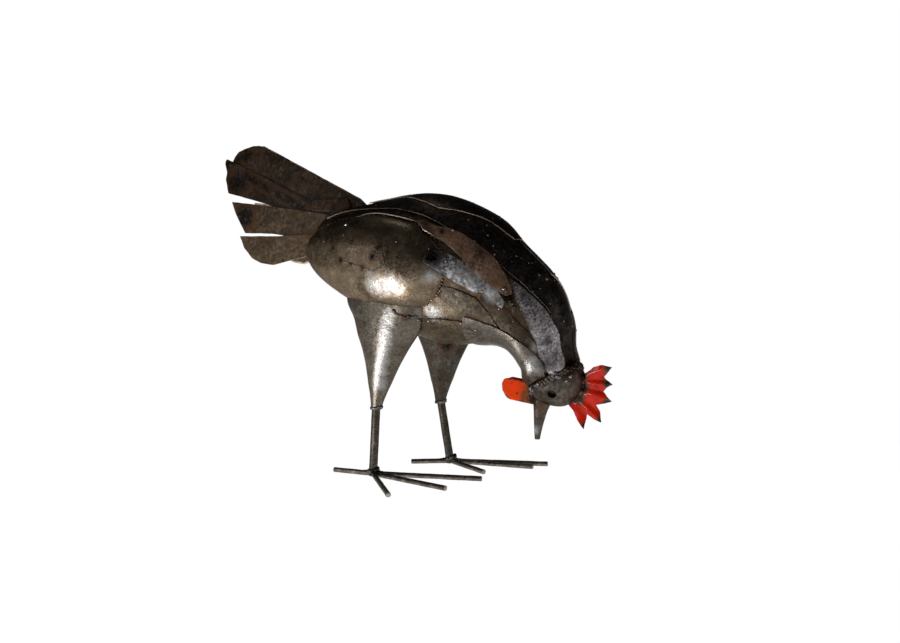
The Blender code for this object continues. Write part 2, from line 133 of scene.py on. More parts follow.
def body_point(at, turn):
    """On the shell at a station number, turned by an angle from the top towards the left."""
    x, z, wide, above, below = (smooth_between(column, at) for column in STATION_COLUMNS)
    ahead = Vector([smooth_between(column, at + SLOPE_STEP) - smooth_between(column, at - SLOPE_STEP)
                    for column in STATION_COLUMNS[:2]]).normalized()
    reach = (above if math.cos(turn) > 0 else below) * math.cos(turn)
    return in_place(x - ahead[1] * reach, wide * math.sin(turn), z + ahead[0] * reach)


def body_middle(at):
    """On the line through the middle of the body's sections."""
    x, z = (smooth_between(column, at) for column in STATION_COLUMNS[:2])
    return in_place(x, 0, z)


def body_normal(at, turn):
    """The way out of the shell at that point."""
    step = 0.02
    along = body_point(at + step, turn) - body_point(at - step, turn)
    around = body_point(at, turn + step) - body_point(at, turn - step)
    normal = along.cross(around).normalized()
    return normal if normal.dot(body_point(at, turn) - body_middle(at)) > 0 else -normal


def hammered(place):
    """How far the hammer has left the sheet out (or in) at a place, in metres."""
    near_blow = noise.voronoi(place / HAMMER_FACE)[0][0]
    return BROAD_DEPTH * noise.noise(place / BROAD_DENT) + HAMMER_DEPTH * (near_blow - HAMMER_MIDDLE)


def fill_sockets(tree, node, inputs):
    """Set or link each socket that is named."""
    for key, value in inputs.items():
        if isinstance(value, bpy.types.NodeSocket):
            tree.links.new(value, node.inputs[key])
        else:
            node.inputs[key].default_value = value


def add_node(tree, kind, inputs=None, **settings):
    """A shader node with its settings and its sockets."""
    made = tree.nodes.new("ShaderNode" + kind)
    for key, value in settings.items():
        setattr(made, key, value)
    fill_sockets(tree, made, inputs or {})
    return made


def new_finish(name):
    """A material, its node tree and its shader."""
    made = bpy.data.materials.new(name)
    made.use_nodes = True
    return made, made.node_tree, made.node_tree.nodes["Principled BSDF"]


def ramp(tree, value, low=0.0, high=1.0, least=0.0, most=1.0):
    """A value from low to high, spread from least to most and held there."""
    made = add_node(tree, "MapRange", {"Value": value, "From Min": low, "From Max": high,
                                       "To Min": least, "To Max": most})
    return made.outputs["Result"]


def combine(tree, first, second, operation="MULTIPLY"):
    """Two values multiplied, or put together by another operation, and held from 0 to 1."""
    maths = add_node(tree, "Math", {0: first, 1: second}, operation=operation, use_clamp=True)
    return maths.outputs["Value"]


def blotches(tree, place, size, low, high, detail=6.0, distortion=0.0):
    """Patches about as big as size, in metres, running from 0 to 1."""
    cloud = add_node(tree, "TexNoise", {"Vector": place, "Scale": 1 / size, "Detail": detail,
                                        "Roughness": 0.6, "Distortion": distortion})
    return ramp(tree, cloud.outputs["Fac"], low, high)


def blend(tree, share, under, over):
    """One colour laid over another as far as share says."""
    under, over = (colour if isinstance(colour, bpy.types.NodeSocket) else (*colour, 1)
                   for colour in (under, over))
    # a Mix node takes its colours at sockets 6 and 7, and gives the mixed one at output 2
    mix = add_node(tree, "Mix", {0: share, 6: under, 7: over}, data_type="RGBA")
    return mix.outputs[2]


def mark(tree, name):
    """One mark that write_marks notes by name: scorching and painted shade, rubbing and painted highlights,
    and nearness to a cut edge.
    """
    return add_node(tree, "Attribute", attribute_name=name).outputs["Fac"]


# Patterns in the steel: size in metres, the range of the noise that shows, detail, distortion
MOTTLING = (0.034, 0.34, 0.66, 8.0, 0.4)
GRAIN_SHOWN = (0.34, 0.66, 5.0)
PITTING = (0.0020, 0.56, 0.68, 4.0)
PALE_PATCHES = (0.016, 0.32, 0.60)
RUST_PATCHES = (0.020, 0.50, 0.62, 9.0, 0.8)
SMEARS = (0.009, 0.3, 0.7)
WORN_AND_EDGE_LIT_PATCHES = (0.012, 0.32, 0.50)
# How far each mark has to go before it shows, and from where it shows in full
TEMPER_SHOWN = (0.1, 0.35)
SOOT_AND_SHADOW_SHOWN = (0.3, 0.6)
RUB_AND_HIGHLIGHT_SHOWN = (0.4, 1.3)
RIM_SHOWN = (0.45, 0.7)
TEMPER_COLOUR = (0.11, 0.05, 0.022)
# soot, and also the colour of the painted shadow under the tail blades
SOOT_AND_SHADOW_COLOUR = (0.005, 0.004, 0.004)
# the colour of painted highlights, laid as rubbing
RUB_AND_HIGHLIGHT_COLOUR = (0.60, 0.60, 0.61)
# bare worn metal, which also paints the highlight along cut rims
BARE_AND_EDGE_HIGHLIGHT_COLOUR = (0.62, 0.50, 0.39)
PIT_COLOUR = (0.015, 0.011, 0.008)
OILED_TINT = (0.45, 0.42, 0.40, 1)
PIT_SIZE = 0.0026
DING_SIZE = 0.009
DULL_METAL = 0.25


def old_steel(name, dark, middle, light, rust=0.35, rust_colour=(0.075, 0.032, 0.014),
              rough=(0.22, 0.44), shift=0.0, metal=0.9, grain_size=0.004, sheen=0.5):
    """Beaten, browned and oiled steel: mottled, pitted, rusty in places, scorched beside the welds, with
    painted shade and painted highlights where the marks call for them.
    """
    made, tree, shader = new_finish(name)
    place = add_node(tree, "Mapping", {"Vector": add_node(tree, "TexCoord").outputs["Object"],
                                       "Location": (shift, shift * 0.7, -shift)}).outputs["Vector"]
    cloud = blotches(tree, place, *MOTTLING)
    grain = blotches(tree, place, grain_size, *GRAIN_SHOWN)
    pitted = blotches(tree, place, *PITTING)
    pale = combine(tree, grain, blotches(tree, place, *PALE_PATCHES))
    colour = blend(tree, pale, blend(tree, cloud, dark, middle), light)
    rusty = combine(tree, blotches(tree, place, *RUST_PATCHES), rust)
    colour = blend(tree, rusty, colour, rust_colour)
    # scorching and painted shade: a brown temper stain, and soot inside it, which also paints the shadow
    # under the tail blades
    ragged = combine(tree, mark(tree, "burnt"), ramp(tree, grain, least=0.5))
    colour = blend(tree, combine(tree, ramp(tree, ragged, *TEMPER_SHOWN), 0.35), colour, TEMPER_COLOUR)
    colour = blend(tree, ramp(tree, ragged, *SOOT_AND_SHADOW_SHOWN), colour, SOOT_AND_SHADOW_COLOUR)
    # painted highlight, laid as rubbing: rubbed bright, unevenly
    smears = combine(tree, blotches(tree, place, *SMEARS), 0.55)
    uneven = add_node(tree, "Math", {0: mark(tree, "polished"), 1: smears}, operation="ADD")
    rub_and_highlight = ramp(tree, uneven.outputs["Value"], *RUB_AND_HIGHLIGHT_SHOWN, most=0.45)
    colour = blend(tree, rub_and_highlight, colour, RUB_AND_HIGHLIGHT_COLOUR)
    # near a cut edge: worn bare in places, and a painted highlight along the rim, pale and scratched dull so
    # that it shows bright from all sides
    rim = ramp(tree, mark(tree, "edge"), *RIM_SHOWN)
    worn = combine(tree, rim, blotches(tree, place, *WORN_AND_EDGE_LIT_PATCHES))
    colour = blend(tree, worn, colour, BARE_AND_EDGE_HIGHLIGHT_COLOUR)
    colour = blend(tree, combine(tree, pitted, 0.5), colour, PIT_COLOUR)
    metallic = combine(tree, ramp(tree, rusty, least=metal, most=DULL_METAL), rub_and_highlight, "MAXIMUM")
    metallic = combine(tree, metallic, ramp(tree, worn, least=1.0, most=DULL_METAL))
    gloss = ramp(tree, combine(tree, grain, cloud, "ADD"), least=rough[0], most=rough[1])
    gloss = combine(tree, gloss, combine(tree, rusty, 0.4), "ADD")
    gloss = combine(tree, gloss, combine(tree, pitted, 0.25), "ADD")
    pits = add_node(tree, "TexNoise", {"Vector": place, "Scale": 1 / PIT_SIZE, "Detail": 5.0,
                                       "Roughness": 0.6})
    dings = add_node(tree, "TexVoronoi", {"Vector": place, "Scale": 1 / DING_SIZE}, feature="SMOOTH_F1")
    fine = add_node(tree, "Bump", {"Height": pits.outputs["Fac"], "Strength": 0.6, "Distance": 0.0005})
    coarse = add_node(tree, "Bump", {"Height": dings.outputs["Distance"], "Strength": 0.3,
                                     "Distance": 0.0010, "Normal": fine.outputs["Normal"]})
    fill_sockets(tree, shader, {
        "Base Color": colour, "Metallic": metallic, "Roughness": gloss, "Normal": coarse.outputs["Normal"],
        "Specular Tint": OILED_TINT, "Specular IOR Level": sheen, "Coat Weight": 0.05,
        "Coat Roughness": 0.2,
    })
    return made


def fall_off(places, spots, reach=1.0):
    """How near each place is to the nearest of some spots: 1 at a spot, 0 beyond its reach."""
    near = numpy.full(len(places), numpy.inf)
    for spot, size in spots:
        near = numpy.minimum(near, numpy.linalg.norm(places - numpy.array(spot), axis=1) / (reach * size))
    return numpy.clip(1 - near, 0, 1)


def on_shell(spots):
    """Spots given by station, degrees from the top and size in mm, on both sides."""
    return [(body_point(at, side * math.radians(turn)), size * MM)
            for at, turn, size in spots for side in (-1, 1)]


def on_both_sides(spots):
    """Spots given by forward, left, up and size in mm, on both sides."""
    return [(in_place(x, side * y, z), size * MM) for x, y, z, size in spots for side in (-1, 1)]


def spread(ends, count, size):
    """Spots of one size, evenly spaced from one end to the other."""
    start, end = (Vector(point) for point in ends)
    return [(*start.lerp(end, number / (count - 1)), size) for number in range(count)]


tack_spots = on_shell(TACKS)
# Painted highlights, laid as places rubbed bright: forward, left and up in mm, and how far each reaches
HIGHLIGHT_AND_RUB_SPOTS = (
    (8, 91, 226, 22), (29, 88, 227, 19), (71, 78, 238, 16), (64, 58, 194, 16),
    (182, 40, 138, 16), (182, 39, 159, 9), (118, 64, 230, 15), (136, 59, 216, 13), (97, 68, 243, 9),
    (166, 4, 60, 8),
)
# A painted highlight laid as a band rubbed bright down the front of the right thigh, from one end to the
# other
THIGH_HIGHLIGHT_ENDS = ((14, -75, 190), (-5, -66, 108))
THIGH_HIGHLIGHT_SPOTS = 12
THIGH_HIGHLIGHT_REACH = 12
highlight_and_rub_spots = on_both_sides(HIGHLIGHT_AND_RUB_SPOTS)
highlight_and_rub_spots += [(in_place(x, y, z), size * MM)
                 for x, y, z, size in spread(THIGH_HIGHLIGHT_ENDS, THIGH_HIGHLIGHT_SPOTS, THIGH_HIGHLIGHT_REACH)]
# Places blackened by long welding, given the same way: feather roots, neck, comb and wattle; on the tail
# some of them are painted shade
BURN_AND_SHADE_SPOTS = (
    (74, 80, 258, 24), (131, 40, 260, 9), (76, 60, 286, 9), (154, 48, 213, 14), (29, 49, 300, 8),
    (224, 2, 112, 10), (219, 2, 99, 9), (223, 2, 125, 9), (166, 4, 98, 25), (208, 8, 136, 24),
    (31, 66, 190, 12), (29, 30, 150, 19), (126, 4, 95, 8), (148, 5, 90, 8), (252, 2, 97, 8),
    (252, 2, 118, 8), (253, 2, 135, 8), (226, 2, 70, 7), (245, 2, 77, 8),
    (183, 31, 127, 14), (171, 29, 124, 15), (160, 18, 118, 15),
    # where the blades were held in the flame; the first two spots also paint the shade that each blade casts
    # on the one below
    (-252, 16, 348, 34), (-238, 24, 306, 36), (-127, 13, 322, 11), (-106, 12, 317, 12), (-88, 11, 312, 12),
    # beside the bead over the dome
    (-54, 88, 267, 6), (-40, 92, 253, 7), (-25, 94, 249, 6), (-8, 95, 245, 8), (5, 94, 258, 11),
    (12, 93, 268, 8),
)
# Painted shadow that the first tail blade's lower edge casts on the blade below, from one end to the other
BLADE_SHADOW_ENDS = ((-252, 12, 363), (-150, 13, 315))
BLADE_SHADOW_SPOTS = 13
BLADE_SHADOW_REACH = 13
# Heat-blackened rims of the spine plate and the shoulder feather: station, degrees from the top
RIM_SOOT = ((4.7, 25), (5.0, 29), (5.3, 31), (5.6, 28), (6.0, 21), (6.3, 16), (6.6, 12), (6.9, 8),
            (5.2, 51), (6.9, 47), (7.2, 51), (7.5, 55), (7.7, 61), (7.8, 66), (7.5, 69))
RIM_SOOT_REACH = 11
burn_and_shade_spots = on_both_sides(BURN_AND_SHADE_SPOTS) + on_both_sides(spread(BLADE_SHADOW_ENDS, BLADE_SHADOW_SPOTS, BLADE_SHADOW_REACH))
burn_and_shade_spots += on_shell([(at, turn, RIM_SOOT_REACH) for at, turn in RIM_SOOT])
# How far a tack burns the sheet, as a share of its size, and how black it burns it
TACK_BURN = 3.5
TACK_SOOT = 0.7
SHARP_FOLD = math.radians(50)
AT_THE_TIP = 0.99999


def write_marks(mesh, edge_of=None):
    """Write down, for the finish, how scorched and painted in shade, how far rubbing and painted highlights
    reach, and how near a cut edge each point is.
    """
    places = numpy.array([vert.co for vert in mesh.vertices])
    marks = {"burnt": numpy.maximum(fall_off(places, burn_and_shade_spots),
                                    TACK_SOOT * fall_off(places, tack_spots, TACK_BURN)),
             "polished": fall_off(places, highlight_and_rub_spots)}
    if edge_of:
        marks["edge"] = numpy.array([edge_of(vert.co) for vert in mesh.vertices])
    for name, values in marks.items():
        mesh.attributes.new(name, "FLOAT", "POINT").data.foreach_set("value", values.astype(numpy.float32))


def new_object(name, bm):
    """An object of the scene, made from its finished mesh."""
    mesh = bpy.data.meshes.new(name)
    bm.to_mesh(mesh)
    bm.free()
    made = bpy.data.objects.new(name, mesh)
    bpy.context.scene.collection.objects.link(made)
    return made


def set_down(name, bm, materials, nodes, edge_of=None):
    """Make the piece from its mesh, in place of its nodes of the model and inside their box."""
    for vert in bm.verts:
        vert.co = [min(max(part, low), high) for part, low, high in zip(vert.co, *cad_box)]
    piece = new_object(name, bm)
    for material in materials:
        piece.data.materials.append(material)
    write_marks(piece.data, edge_of)
    piece.data.shade_smooth()
    piece.data.set_sharp_from_angle(angle=SHARP_FOLD)
    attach(piece, "root")
    if nodes:
        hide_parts(*nodes)
    return piece


def beaten_body():
    bm = bmesh.new()
    bmesh.ops.create_uvsphere(bm, u_segments=144, v_segments=168, radius=1)
    for vert in bm.verts:
        at = math.acos(max(-1.0, min(1.0, vert.co.z))) / math.pi * LAST_STATION
        if abs(vert.co.z) > AT_THE_TIP:
            vert.co = body_middle(at)
        else:
            turn = math.atan2(vert.co.y, vert.co.x)
            place = body_point(at, turn)
            vert.co = place + body_normal(at, turn) * hammered(place)
    bmesh.ops.recalc_face_normals(bm, faces=bm.faces)
    return bm


body_steel = old_steel("browned body steel", (0.033, 0.023, 0.014), (0.072, 0.053, 0.033),
                       (0.145, 0.112, 0.076), grain_size=0.003)
set_down("body", beaten_body(), [body_steel], ["body_shell"])

# The flank domes
# Each flank carries half an egg of thicker sheet, beaten round, rubbed bright low on its belly
# as a painted highlight, and welded to the body all round. A later bead of weld runs over its top like a
# scar.
DOME_CENTRE = (-14, 52, 251)
DOME_HALF = (102, 43, 54)
DOME_TAPER = 0.16
DOME_TILT = math.radians(9)
DOME_TURN = Matrix.Rotation(DOME_TILT, 3, "Y")
DOME_DENTS = 0.45
DOME_PROUD = 1.0 * MM
SIDES = {"right": -1, "left": 1}


def dome_point(side, x, y, z, proud=0.0):
    """Where a point of a round ball of radius 1 comes to lie on the dome."""
    half = [h * MM + proud for h in DOME_HALF]
    swell = 1 + DOME_TAPER * x
    centre = in_place(DOME_CENTRE[0], side * DOME_CENTRE[1], DOME_CENTRE[2])
    return centre + DOME_TURN @ Vector((x * half[0], y * half[1] * swell, z * half[2] * swell))


def flank_dome(side, proud=0.0, dents=DOME_DENTS):
    bm = bmesh.new()
    bmesh.ops.create_uvsphere(bm, u_segments=112, v_segments=72, radius=1)
    bmesh.ops.rotate(bm, matrix=Matrix.Rotation(math.pi / 2, 3, "Y"), verts=bm.verts)
    half = [h * MM + proud for h in DOME_HALF]
    for vert in bm.verts:
        out = Vector([vert.co[k] / half[k] for k in range(3)]).normalized()
        place = dome_point(side, *vert.co, proud)
        vert.co = place + DOME_TURN @ out * hammered(place) * dents
    bmesh.ops.recalc_face_normals(bm, faces=bm.faces)
    return bm


dome_steel = old_steel("ground dome steel", (0.058, 0.041, 0.025), (0.118, 0.087, 0.055), (0.24, 0.19, 0.13),
                       rust=0.4, rough=(0.18, 0.30), shift=3.1, grain_size=0.0026)
dome_trees = []
for side_name, side in SIDES.items():
    set_down("flank_dome_on_" + side_name, flank_dome(side), [dome_steel], ["flank_dome_" + side_name])
    dome_trees.append(BVHTree.FromBMesh(flank_dome(side, DOME_PROUD, 0.0)))

# The thighs
# A cone of sheet rolled up and closed with a seam inside the leg, its wide end cut to fit
# under the body and its narrow end welded shut round the top of the shank. The left thigh
# has a darker copy of the right thigh's steel, which paints the shade on the far side.
ANKLE_STANCE = 114
THIGH_RINGS = (
    # height above the ankle, radius fore and aft, radius across
    (0, 6.3, 6.3), (12, 9, 9), (28, 14, 13.4), (50, 21, 18.4), (68, 29, 22.2), (84, 38, 25.6),
    (104, 47, 28.8), (122, 60, 31.2), (140, 64, 33),
)
THIGH_SIDES = 72
THIGH_STEP = 3.0
THIGH_LEAN = (19, -12)
THIGH_DENTS = 0.25
THIGH_DENTS_FADE = 30
CONE_LOOKS_DOWN = -0.3
ANKLES = {"right": (-15, 81), "left": (5, 77)}


def closed_loft(rings):
    """A closed mesh through rings of points, each ring with the same number."""
    bm = bmesh.new()
    rows = [[bm.verts.new(point) for point in ring] for ring in rings]
    for low, high in zip(rows, rows[1:]):
        for i in range(len(low)):
            j = (i + 1) % len(low)
            bm.faces.new((low[i], low[j], high[j], high[i]))
    bm.faces.new(list(reversed(rows[0])))
    bm.faces.new(rows[-1])
    bmesh.ops.recalc_face_normals(bm, faces=bm.faces)
    return bm


def passed(stops, value):
    """How many stops a value has passed, with the share of the way to the next."""
    spot = next(i for i in range(len(stops) - 1) if stops[i + 1] >= value)
    return spot + (value - stops[spot]) / (stops[spot + 1] - stops[spot])


def thigh(side_name, side):
    forward, up = ANKLES[side_name]
    heights, radii_x, radii_y = zip(*THIGH_RINGS)
    count = int(heights[-1] / THIGH_STEP)
    rings = []
    for number in range(count + 1):
        height = heights[-1] * number / count
        at = passed(heights, height)
        half_x, half_y = smooth_between(radii_x, at), smooth_between(radii_y, at)
        share = height / heights[-1]
        ring = []
        for i in range(THIGH_SIDES):
            angle = 2 * math.pi * i / THIGH_SIDES
            x = forward + THIGH_LEAN[0] * share + half_x * math.cos(angle)
            y = side * (ANKLE_STANCE / 2 + THIGH_LEAN[1] * share) + half_y * math.sin(angle)
            place = in_place(x, y, up + height)
            out = Vector((math.cos(angle), math.sin(angle), CONE_LOOKS_DOWN)).normalized()
            ring.append(place + out * hammered(place) * THIGH_DENTS * min(1, height / THIGH_DENTS_FADE))
        rings.append(ring)
    return closed_loft(rings)


thigh_steel = {
    "right": old_steel("rolled thigh steel", (0.05, 0.042, 0.031), (0.10, 0.086, 0.067),
                       (0.18, 0.161, 0.131), rust=0.2, rough=(0.15, 0.26), shift=5.7, grain_size=0.0026),
    # the left thigh's steel is made darker as painted shade
    "left": old_steel("thigh steel darkened as painted shade", (0.018, 0.015, 0.011), (0.042, 0.035, 0.026),
                      (0.10, 0.088, 0.07), rust=0.3, rough=(0.18, 0.30), shift=6.9, grain_size=0.0026),
}
for side_name, side in SIDES.items():
    set_down("thigh_cone_" + side_name, thigh(side_name, side), [thigh_steel[side_name]],
             ["thigh_" + side_name])

# The shanks and toes
# Round bar: a 10 mm shank stands on each foot, and four 6 mm toes lie flat round it. They
# are sawn off square and joined with lumps of weld, which also web the toes together.
SHANK_BAR = 10
TOE_BAR = 6
STANCE = 120
STRIDE = 36
TOES = {
    # each toe's length and the angle that it points away from straight ahead, outward
    "right": dict(middle=(123, 16), inner=(131, -15.5), outer=(126, 49), back=(54, 178)),
    "left": dict(middle=(108, 7), inner=(86, -33), outer=(121, 19), back=(49, 216)),
}
SHANK_INTO_THIGH = 4
BAR_SIDES = 28
BAR_STEPS = 24
BAR_CHAMFER = 0.08
BAR_WANDER = 0.25 * MM
BAR_BEND = 9 * MM
BAR_TRUE_END = 6 * MM


def round_bar(start, end, diameter):
    """A bar with a little chamfer at its sawn ends and the small bends of used stock."""
    along = end - start
    turn = along.to_track_quat("Z", "Y").to_matrix()
    chamfer = diameter * BAR_CHAMFER
    spots = [0, chamfer]
    spots += [chamfer + (along.length - 2 * chamfer) * i / BAR_STEPS for i in range(1, BAR_STEPS)]
    spots += [along.length - chamfer, along.length]
    rings = []
    for spot in spots:
        end_off = min(spot, along.length - spot)
        radius = diameter / 2 - max(0, chamfer - end_off)
        ring = []
        for i in range(BAR_SIDES):
            angle = 2 * math.pi * i / BAR_SIDES
            out = Vector((math.cos(angle), math.sin(angle), 0))
            place = start + turn @ (out * radius + Vector((0, 0, spot)))
            worn = noise.noise(place / BAR_BEND) * BAR_WANDER * min(1, end_off / BAR_TRUE_END)
            ring.append(place + turn @ out * worn)
        rings.append(ring)
    bm = closed_loft(rings)
    for face in bm.faces:
        if len(face.verts) == BAR_SIDES:
            face.material_index = 1
    return bm


def foot_under(side):
    return in_place(side * STRIDE / 2, side * STANCE / 2, 0)


def ankle_of(side_name):
    forward, up = ANKLES[side_name]
    return in_place(forward, SIDES[side_name] * ANKLE_STANCE / 2, up)


def raised(place, height):
    """A place raised by a height in mm."""
    return place + Vector((0, 0, height * MM))


shank_steel = old_steel("dark shank steel", (0.018, 0.016, 0.012), (0.042, 0.037, 0.029),
                        (0.12, 0.107, 0.087), rust=0.25, rough=(0.16, 0.30), shift=7.4, grain_size=0.003)
bar_steel = old_steel("scuffed toe steel", (0.06, 0.052, 0.043), (0.15, 0.132, 0.112), (0.34, 0.31, 0.27),
                      rust=0.3, rough=(0.18, 0.34), shift=8.3, grain_size=0.003)
sawn_steel = old_steel("sawn bar end", (0.20, 0.18, 0.16), (0.38, 0.36, 0.33), (0.55, 0.53, 0.5), rust=0.15,
                       rough=(0.3, 0.5), shift=9.9)
for side_name, side in SIDES.items():
    foot = foot_under(side)
    shank = round_bar(foot, raised(ankle_of(side_name), SHANK_INTO_THIGH), SHANK_BAR * MM)
    set_down("shank_bar_" + side_name, shank, [shank_steel, shank_steel], ["shank_" + side_name])
    axis = raised(foot, TOE_BAR / 2)
    for toe, (length, splay) in TOES[side_name].items():
        turn = side * math.radians(splay)
        tip = axis + Vector((math.cos(turn), math.sin(turn), 0)) * length * MM
        set_down(f"toe_bar_{side_name}_{toe}", round_bar(axis, tip, TOE_BAR * MM), [bar_steel, sawn_steel],
                 [f"toe_{side_name}_{toe}"])

# The tail
# Two rows of four blades each, snipped from drum sheet and leant together like a roof. They
# are welded to the rump and to each other, and a short cover plate hides each row's root.
SHEET = 1.2 * MM
TAIL_RIDGE = ((-225, 396), (-78, 327))
TAIL_RIDGE_OUT = 2.5
TAIL_SLOPE = 0.19
TAIL_BLADES = (
    ((-68, 319), (-77, 327), (-225, 396), (-236, 396), (-248, 393), (-258, 389), (-263, 382),
     (-265, 375), (-250, 366), (-152, 318), (-93, 296)),
    ((-93, 311), (-144, 326), (-178, 340), (-230, 363), (-262, 376), (-273, 380), (-275, 375),
     (-270, 363), (-271, 354), (-265, 336), (-207, 322), (-186, 315), (-108, 293), (-93, 288)),
    ((-93, 300), (-118, 308), (-194, 318), (-257, 325), (-251, 313), (-244, 302), (-232, 285),
     (-189, 284), (-108, 272), (-93, 270)),
    ((-98, 285), (-181, 281), (-238, 281), (-229, 266), (-215, 253), (-201, 247), (-183, 245),
     (-152, 253), (-121, 259), (-98, 262)),
)
TAIL_COVER = ((-139, 313), (-140, 319), (-137, 325), (-90, 327), (-84, 318), (-88, 310))
TAIL_GRID = (6, 6)
TAIL_LAP = 1.5
TAIL_FREE_FROM = -120
TAIL_FREE_OVER = 60
TAIL_WARP = 0.9 * MM
TAIL_WARP_SIZE = 30 * MM
COVER_LAYER = 2
COVER_SEED = 9
SNIP_ROUND = 1.6
MOST_SNIPPED = 0.3
SNIP_SIZE = 7 * MM
SNIP_DEPTH = 0.35 * MM
# how far the edge mark reaches from a cut rim: chipped paint, bare metal and the painted rim highlight
RIM_MARK_REACH = 1.6 * MM


def round_corners(outline, measure, reach=SNIP_ROUND):
    """An outline with its corners snipped round, by reach in mm. Measure is mm to each unit."""
    rounded = []
    for i, corner in enumerate(outline):
        before, after = outline[i - 1], outline[(i + 1) % len(outline)]
        ends = []
        for other in (before, after):
            size = math.hypot(*((o - c) * m for o, c, m in zip(other, corner, measure)))
            share = min(reach / size, MOST_SNIPPED)
            ends.append([c + (o - c) * share for o, c in zip(other, corner)])
        middle = [0.25 * a + 0.5 * c + 0.25 * b for a, c, b in zip(ends[0], corner, ends[1])]
        rounded += [ends[0], middle, ends[1]]
    return rounded


def cut_sheet(outline, step):
    """A flat sheet of the outline, cut across on a grid so that it can be beaten round."""
    bm = bmesh.new()
    bm.faces.new([bm.verts.new((u, v, 0)) for u, v in outline])
    for axis in (0, 1):
        low, high = (pick(p[axis] for p in outline) for pick in (min, max))
        normal = Vector((1 - axis, axis, 0))
        for line in range(math.ceil(low / step[axis]), math.floor(high / step[axis]) + 1):
            bmesh.ops.bisect_plane(bm, geom=bm.verts[:] + bm.edges[:] + bm.faces[:],
                                   plane_co=normal * line * step[axis], plane_no=normal)
    return bm


def give_thickness(bm, inside, both_ways=False):
    """Snip the edge a little unevenly and thicken the sheet away from a point inside."""
    bmesh.ops.recalc_face_normals(bm, faces=bm.faces)
    bm.normal_update()
    if sum(f.normal.dot(f.calc_center_median() - inside) * f.calc_area() for f in bm.faces) < 0:
        bmesh.ops.reverse_faces(bm, faces=bm.faces)
        bm.normal_update()
    rim = [vert for vert in bm.verts if vert.is_boundary]
    for vert in rim:
        snip = noise.noise_vector(vert.co / SNIP_SIZE) * SNIP_DEPTH
        vert.co += snip - vert.normal * snip.dot(vert.normal)
    tree = KDTree(len(rim))
    for i, vert in enumerate(rim):
        tree.insert(vert.co, i)
    tree.balance()
    under = {vert: bm.verts.new(vert.co) for vert in list(bm.verts)}
    for vert, twin in under.items():
        vert.co += vert.normal * SHEET * (0.5 if both_ways else 1)
        twin.co -= vert.normal * SHEET * (0.5 if both_ways else 0)
    sides = [edge for edge in bm.edges if edge.is_boundary]
    for face in list(bm.faces):
        bm.faces.new([under[vert] for vert in reversed(face.verts)])
    for edge in sides:
        loop = next(loop for loop in edge.link_faces[0].loops if loop.edge == edge)
        a, b = loop.vert, loop.link_loop_next.vert
        wall = bm.faces.new((b, a, under[a], under[b]))
        wall.material_index = 1
    return lambda place: max(0.0, 1 - tree.find(place)[2] / RIM_MARK_REACH)


def tail_blade(outline, side, layer, seed):
    bm = cut_sheet(round_corners(outline, (1, 1)), TAIL_GRID)
    top, root = TAIL_RIDGE
    out = Vector((0, side, TAIL_SLOPE)).normalized()
    for vert in bm.verts:
        x, z = vert.co.x, vert.co.y
        ridge = top[1] + (x - top[0]) * (root[1] - top[1]) / (root[0] - top[0])
        y = TAIL_RIDGE_OUT + (ridge - z) * TAIL_SLOPE + layer * TAIL_LAP
        place = in_place(x, side * y, z)
        free = min(1, max(0, (TAIL_FREE_FROM - x) / TAIL_FREE_OVER))
        warp = noise.noise(place / TAIL_WARP_SIZE + Vector((seed, 0, 0)))
        vert.co = place + out * free * TAIL_WARP * warp
    return bm


def tail_steel(name, dark, middle, light, rust_colour, **finish):
    """Sheet that the flame has left nearly without shine."""
    return old_steel(name, dark, middle, light, rust_colour=rust_colour, sheen=0.12, **finish)


TAIL_FINISHES = (
    tail_steel("heat-blackened tail steel", (0.004, 0.003, 0.002), (0.016, 0.010, 0.006),
               (0.065, 0.038, 0.020), (0.060, 0.028, 0.012), rust=0.55, rough=(0.34, 0.55), shift=12.0,
               metal=0.3),
    tail_steel("sooty tail steel", (0.002, 0.0015, 0.001), (0.008, 0.005, 0.003), (0.035, 0.021, 0.012),
               (0.032, 0.015, 0.007), rust=0.4, rough=(0.34, 0.55), shift=13.0, metal=0.3),
    tail_steel("umber tail steel", (0.010, 0.006, 0.003), (0.042, 0.026, 0.015), (0.13, 0.088, 0.054),
               (0.085, 0.043, 0.021), rust=0.5, rough=(0.38, 0.58), shift=13.7, metal=0.25),
    tail_steel("brown tail steel", (0.018, 0.010, 0.005), (0.075, 0.048, 0.028), (0.17, 0.118, 0.073),
               (0.11, 0.056, 0.027), rust=0.5, rough=(0.38, 0.58), shift=14.5, metal=0.25),
)
tail_edge = old_steel("snipped tail edge", (0.05, 0.033, 0.022), (0.12, 0.08, 0.054), (0.30, 0.22, 0.16),
                      rust=0.4, rough=(0.3, 0.5), shift=2.2)
tail_inside = in_place(-180, 0, 300)
for side_name, side in SIDES.items():
    for number, outline in enumerate(TAIL_BLADES, 1):
        bm = tail_blade(outline, side, number - 1, number + side)
        rim_nearness = give_thickness(bm, tail_inside)
        set_down(f"tail_blade_{side_name}_{number}", bm, [TAIL_FINISHES[number - 1], tail_edge],
                 [f"tail_feather_{side_name}_{number}"], rim_nearness)
    bm = tail_blade(TAIL_COVER, side, COVER_LAYER, COVER_SEED + side)
    rim_nearness = give_thickness(bm, tail_inside)
    set_down("tail_root_cover_" + side_name, bm, [TAIL_FINISHES[0], tail_edge], ["tail_cover_" + side_name],
             rim_nearness)

# The back, shoulder, wing, neck and belly feathers
# Plates snipped from drum sheet and beaten down over the body, each lapping the next like
# slates and tacked at its corners. Heat, rust and old paint give each its own colour.
LIFT = 1.0 * MM
PLATE_GAP = 0.7 * MM
TIP_LIFT = 0.1
FAR_OUT = 80 * MM
# The grid that a plate is beaten on, and how many mm there are to a station and to a degree
PLATE_GRID = (0.1, 2.25)
PLATE_MEASURE = (33, 1.2)
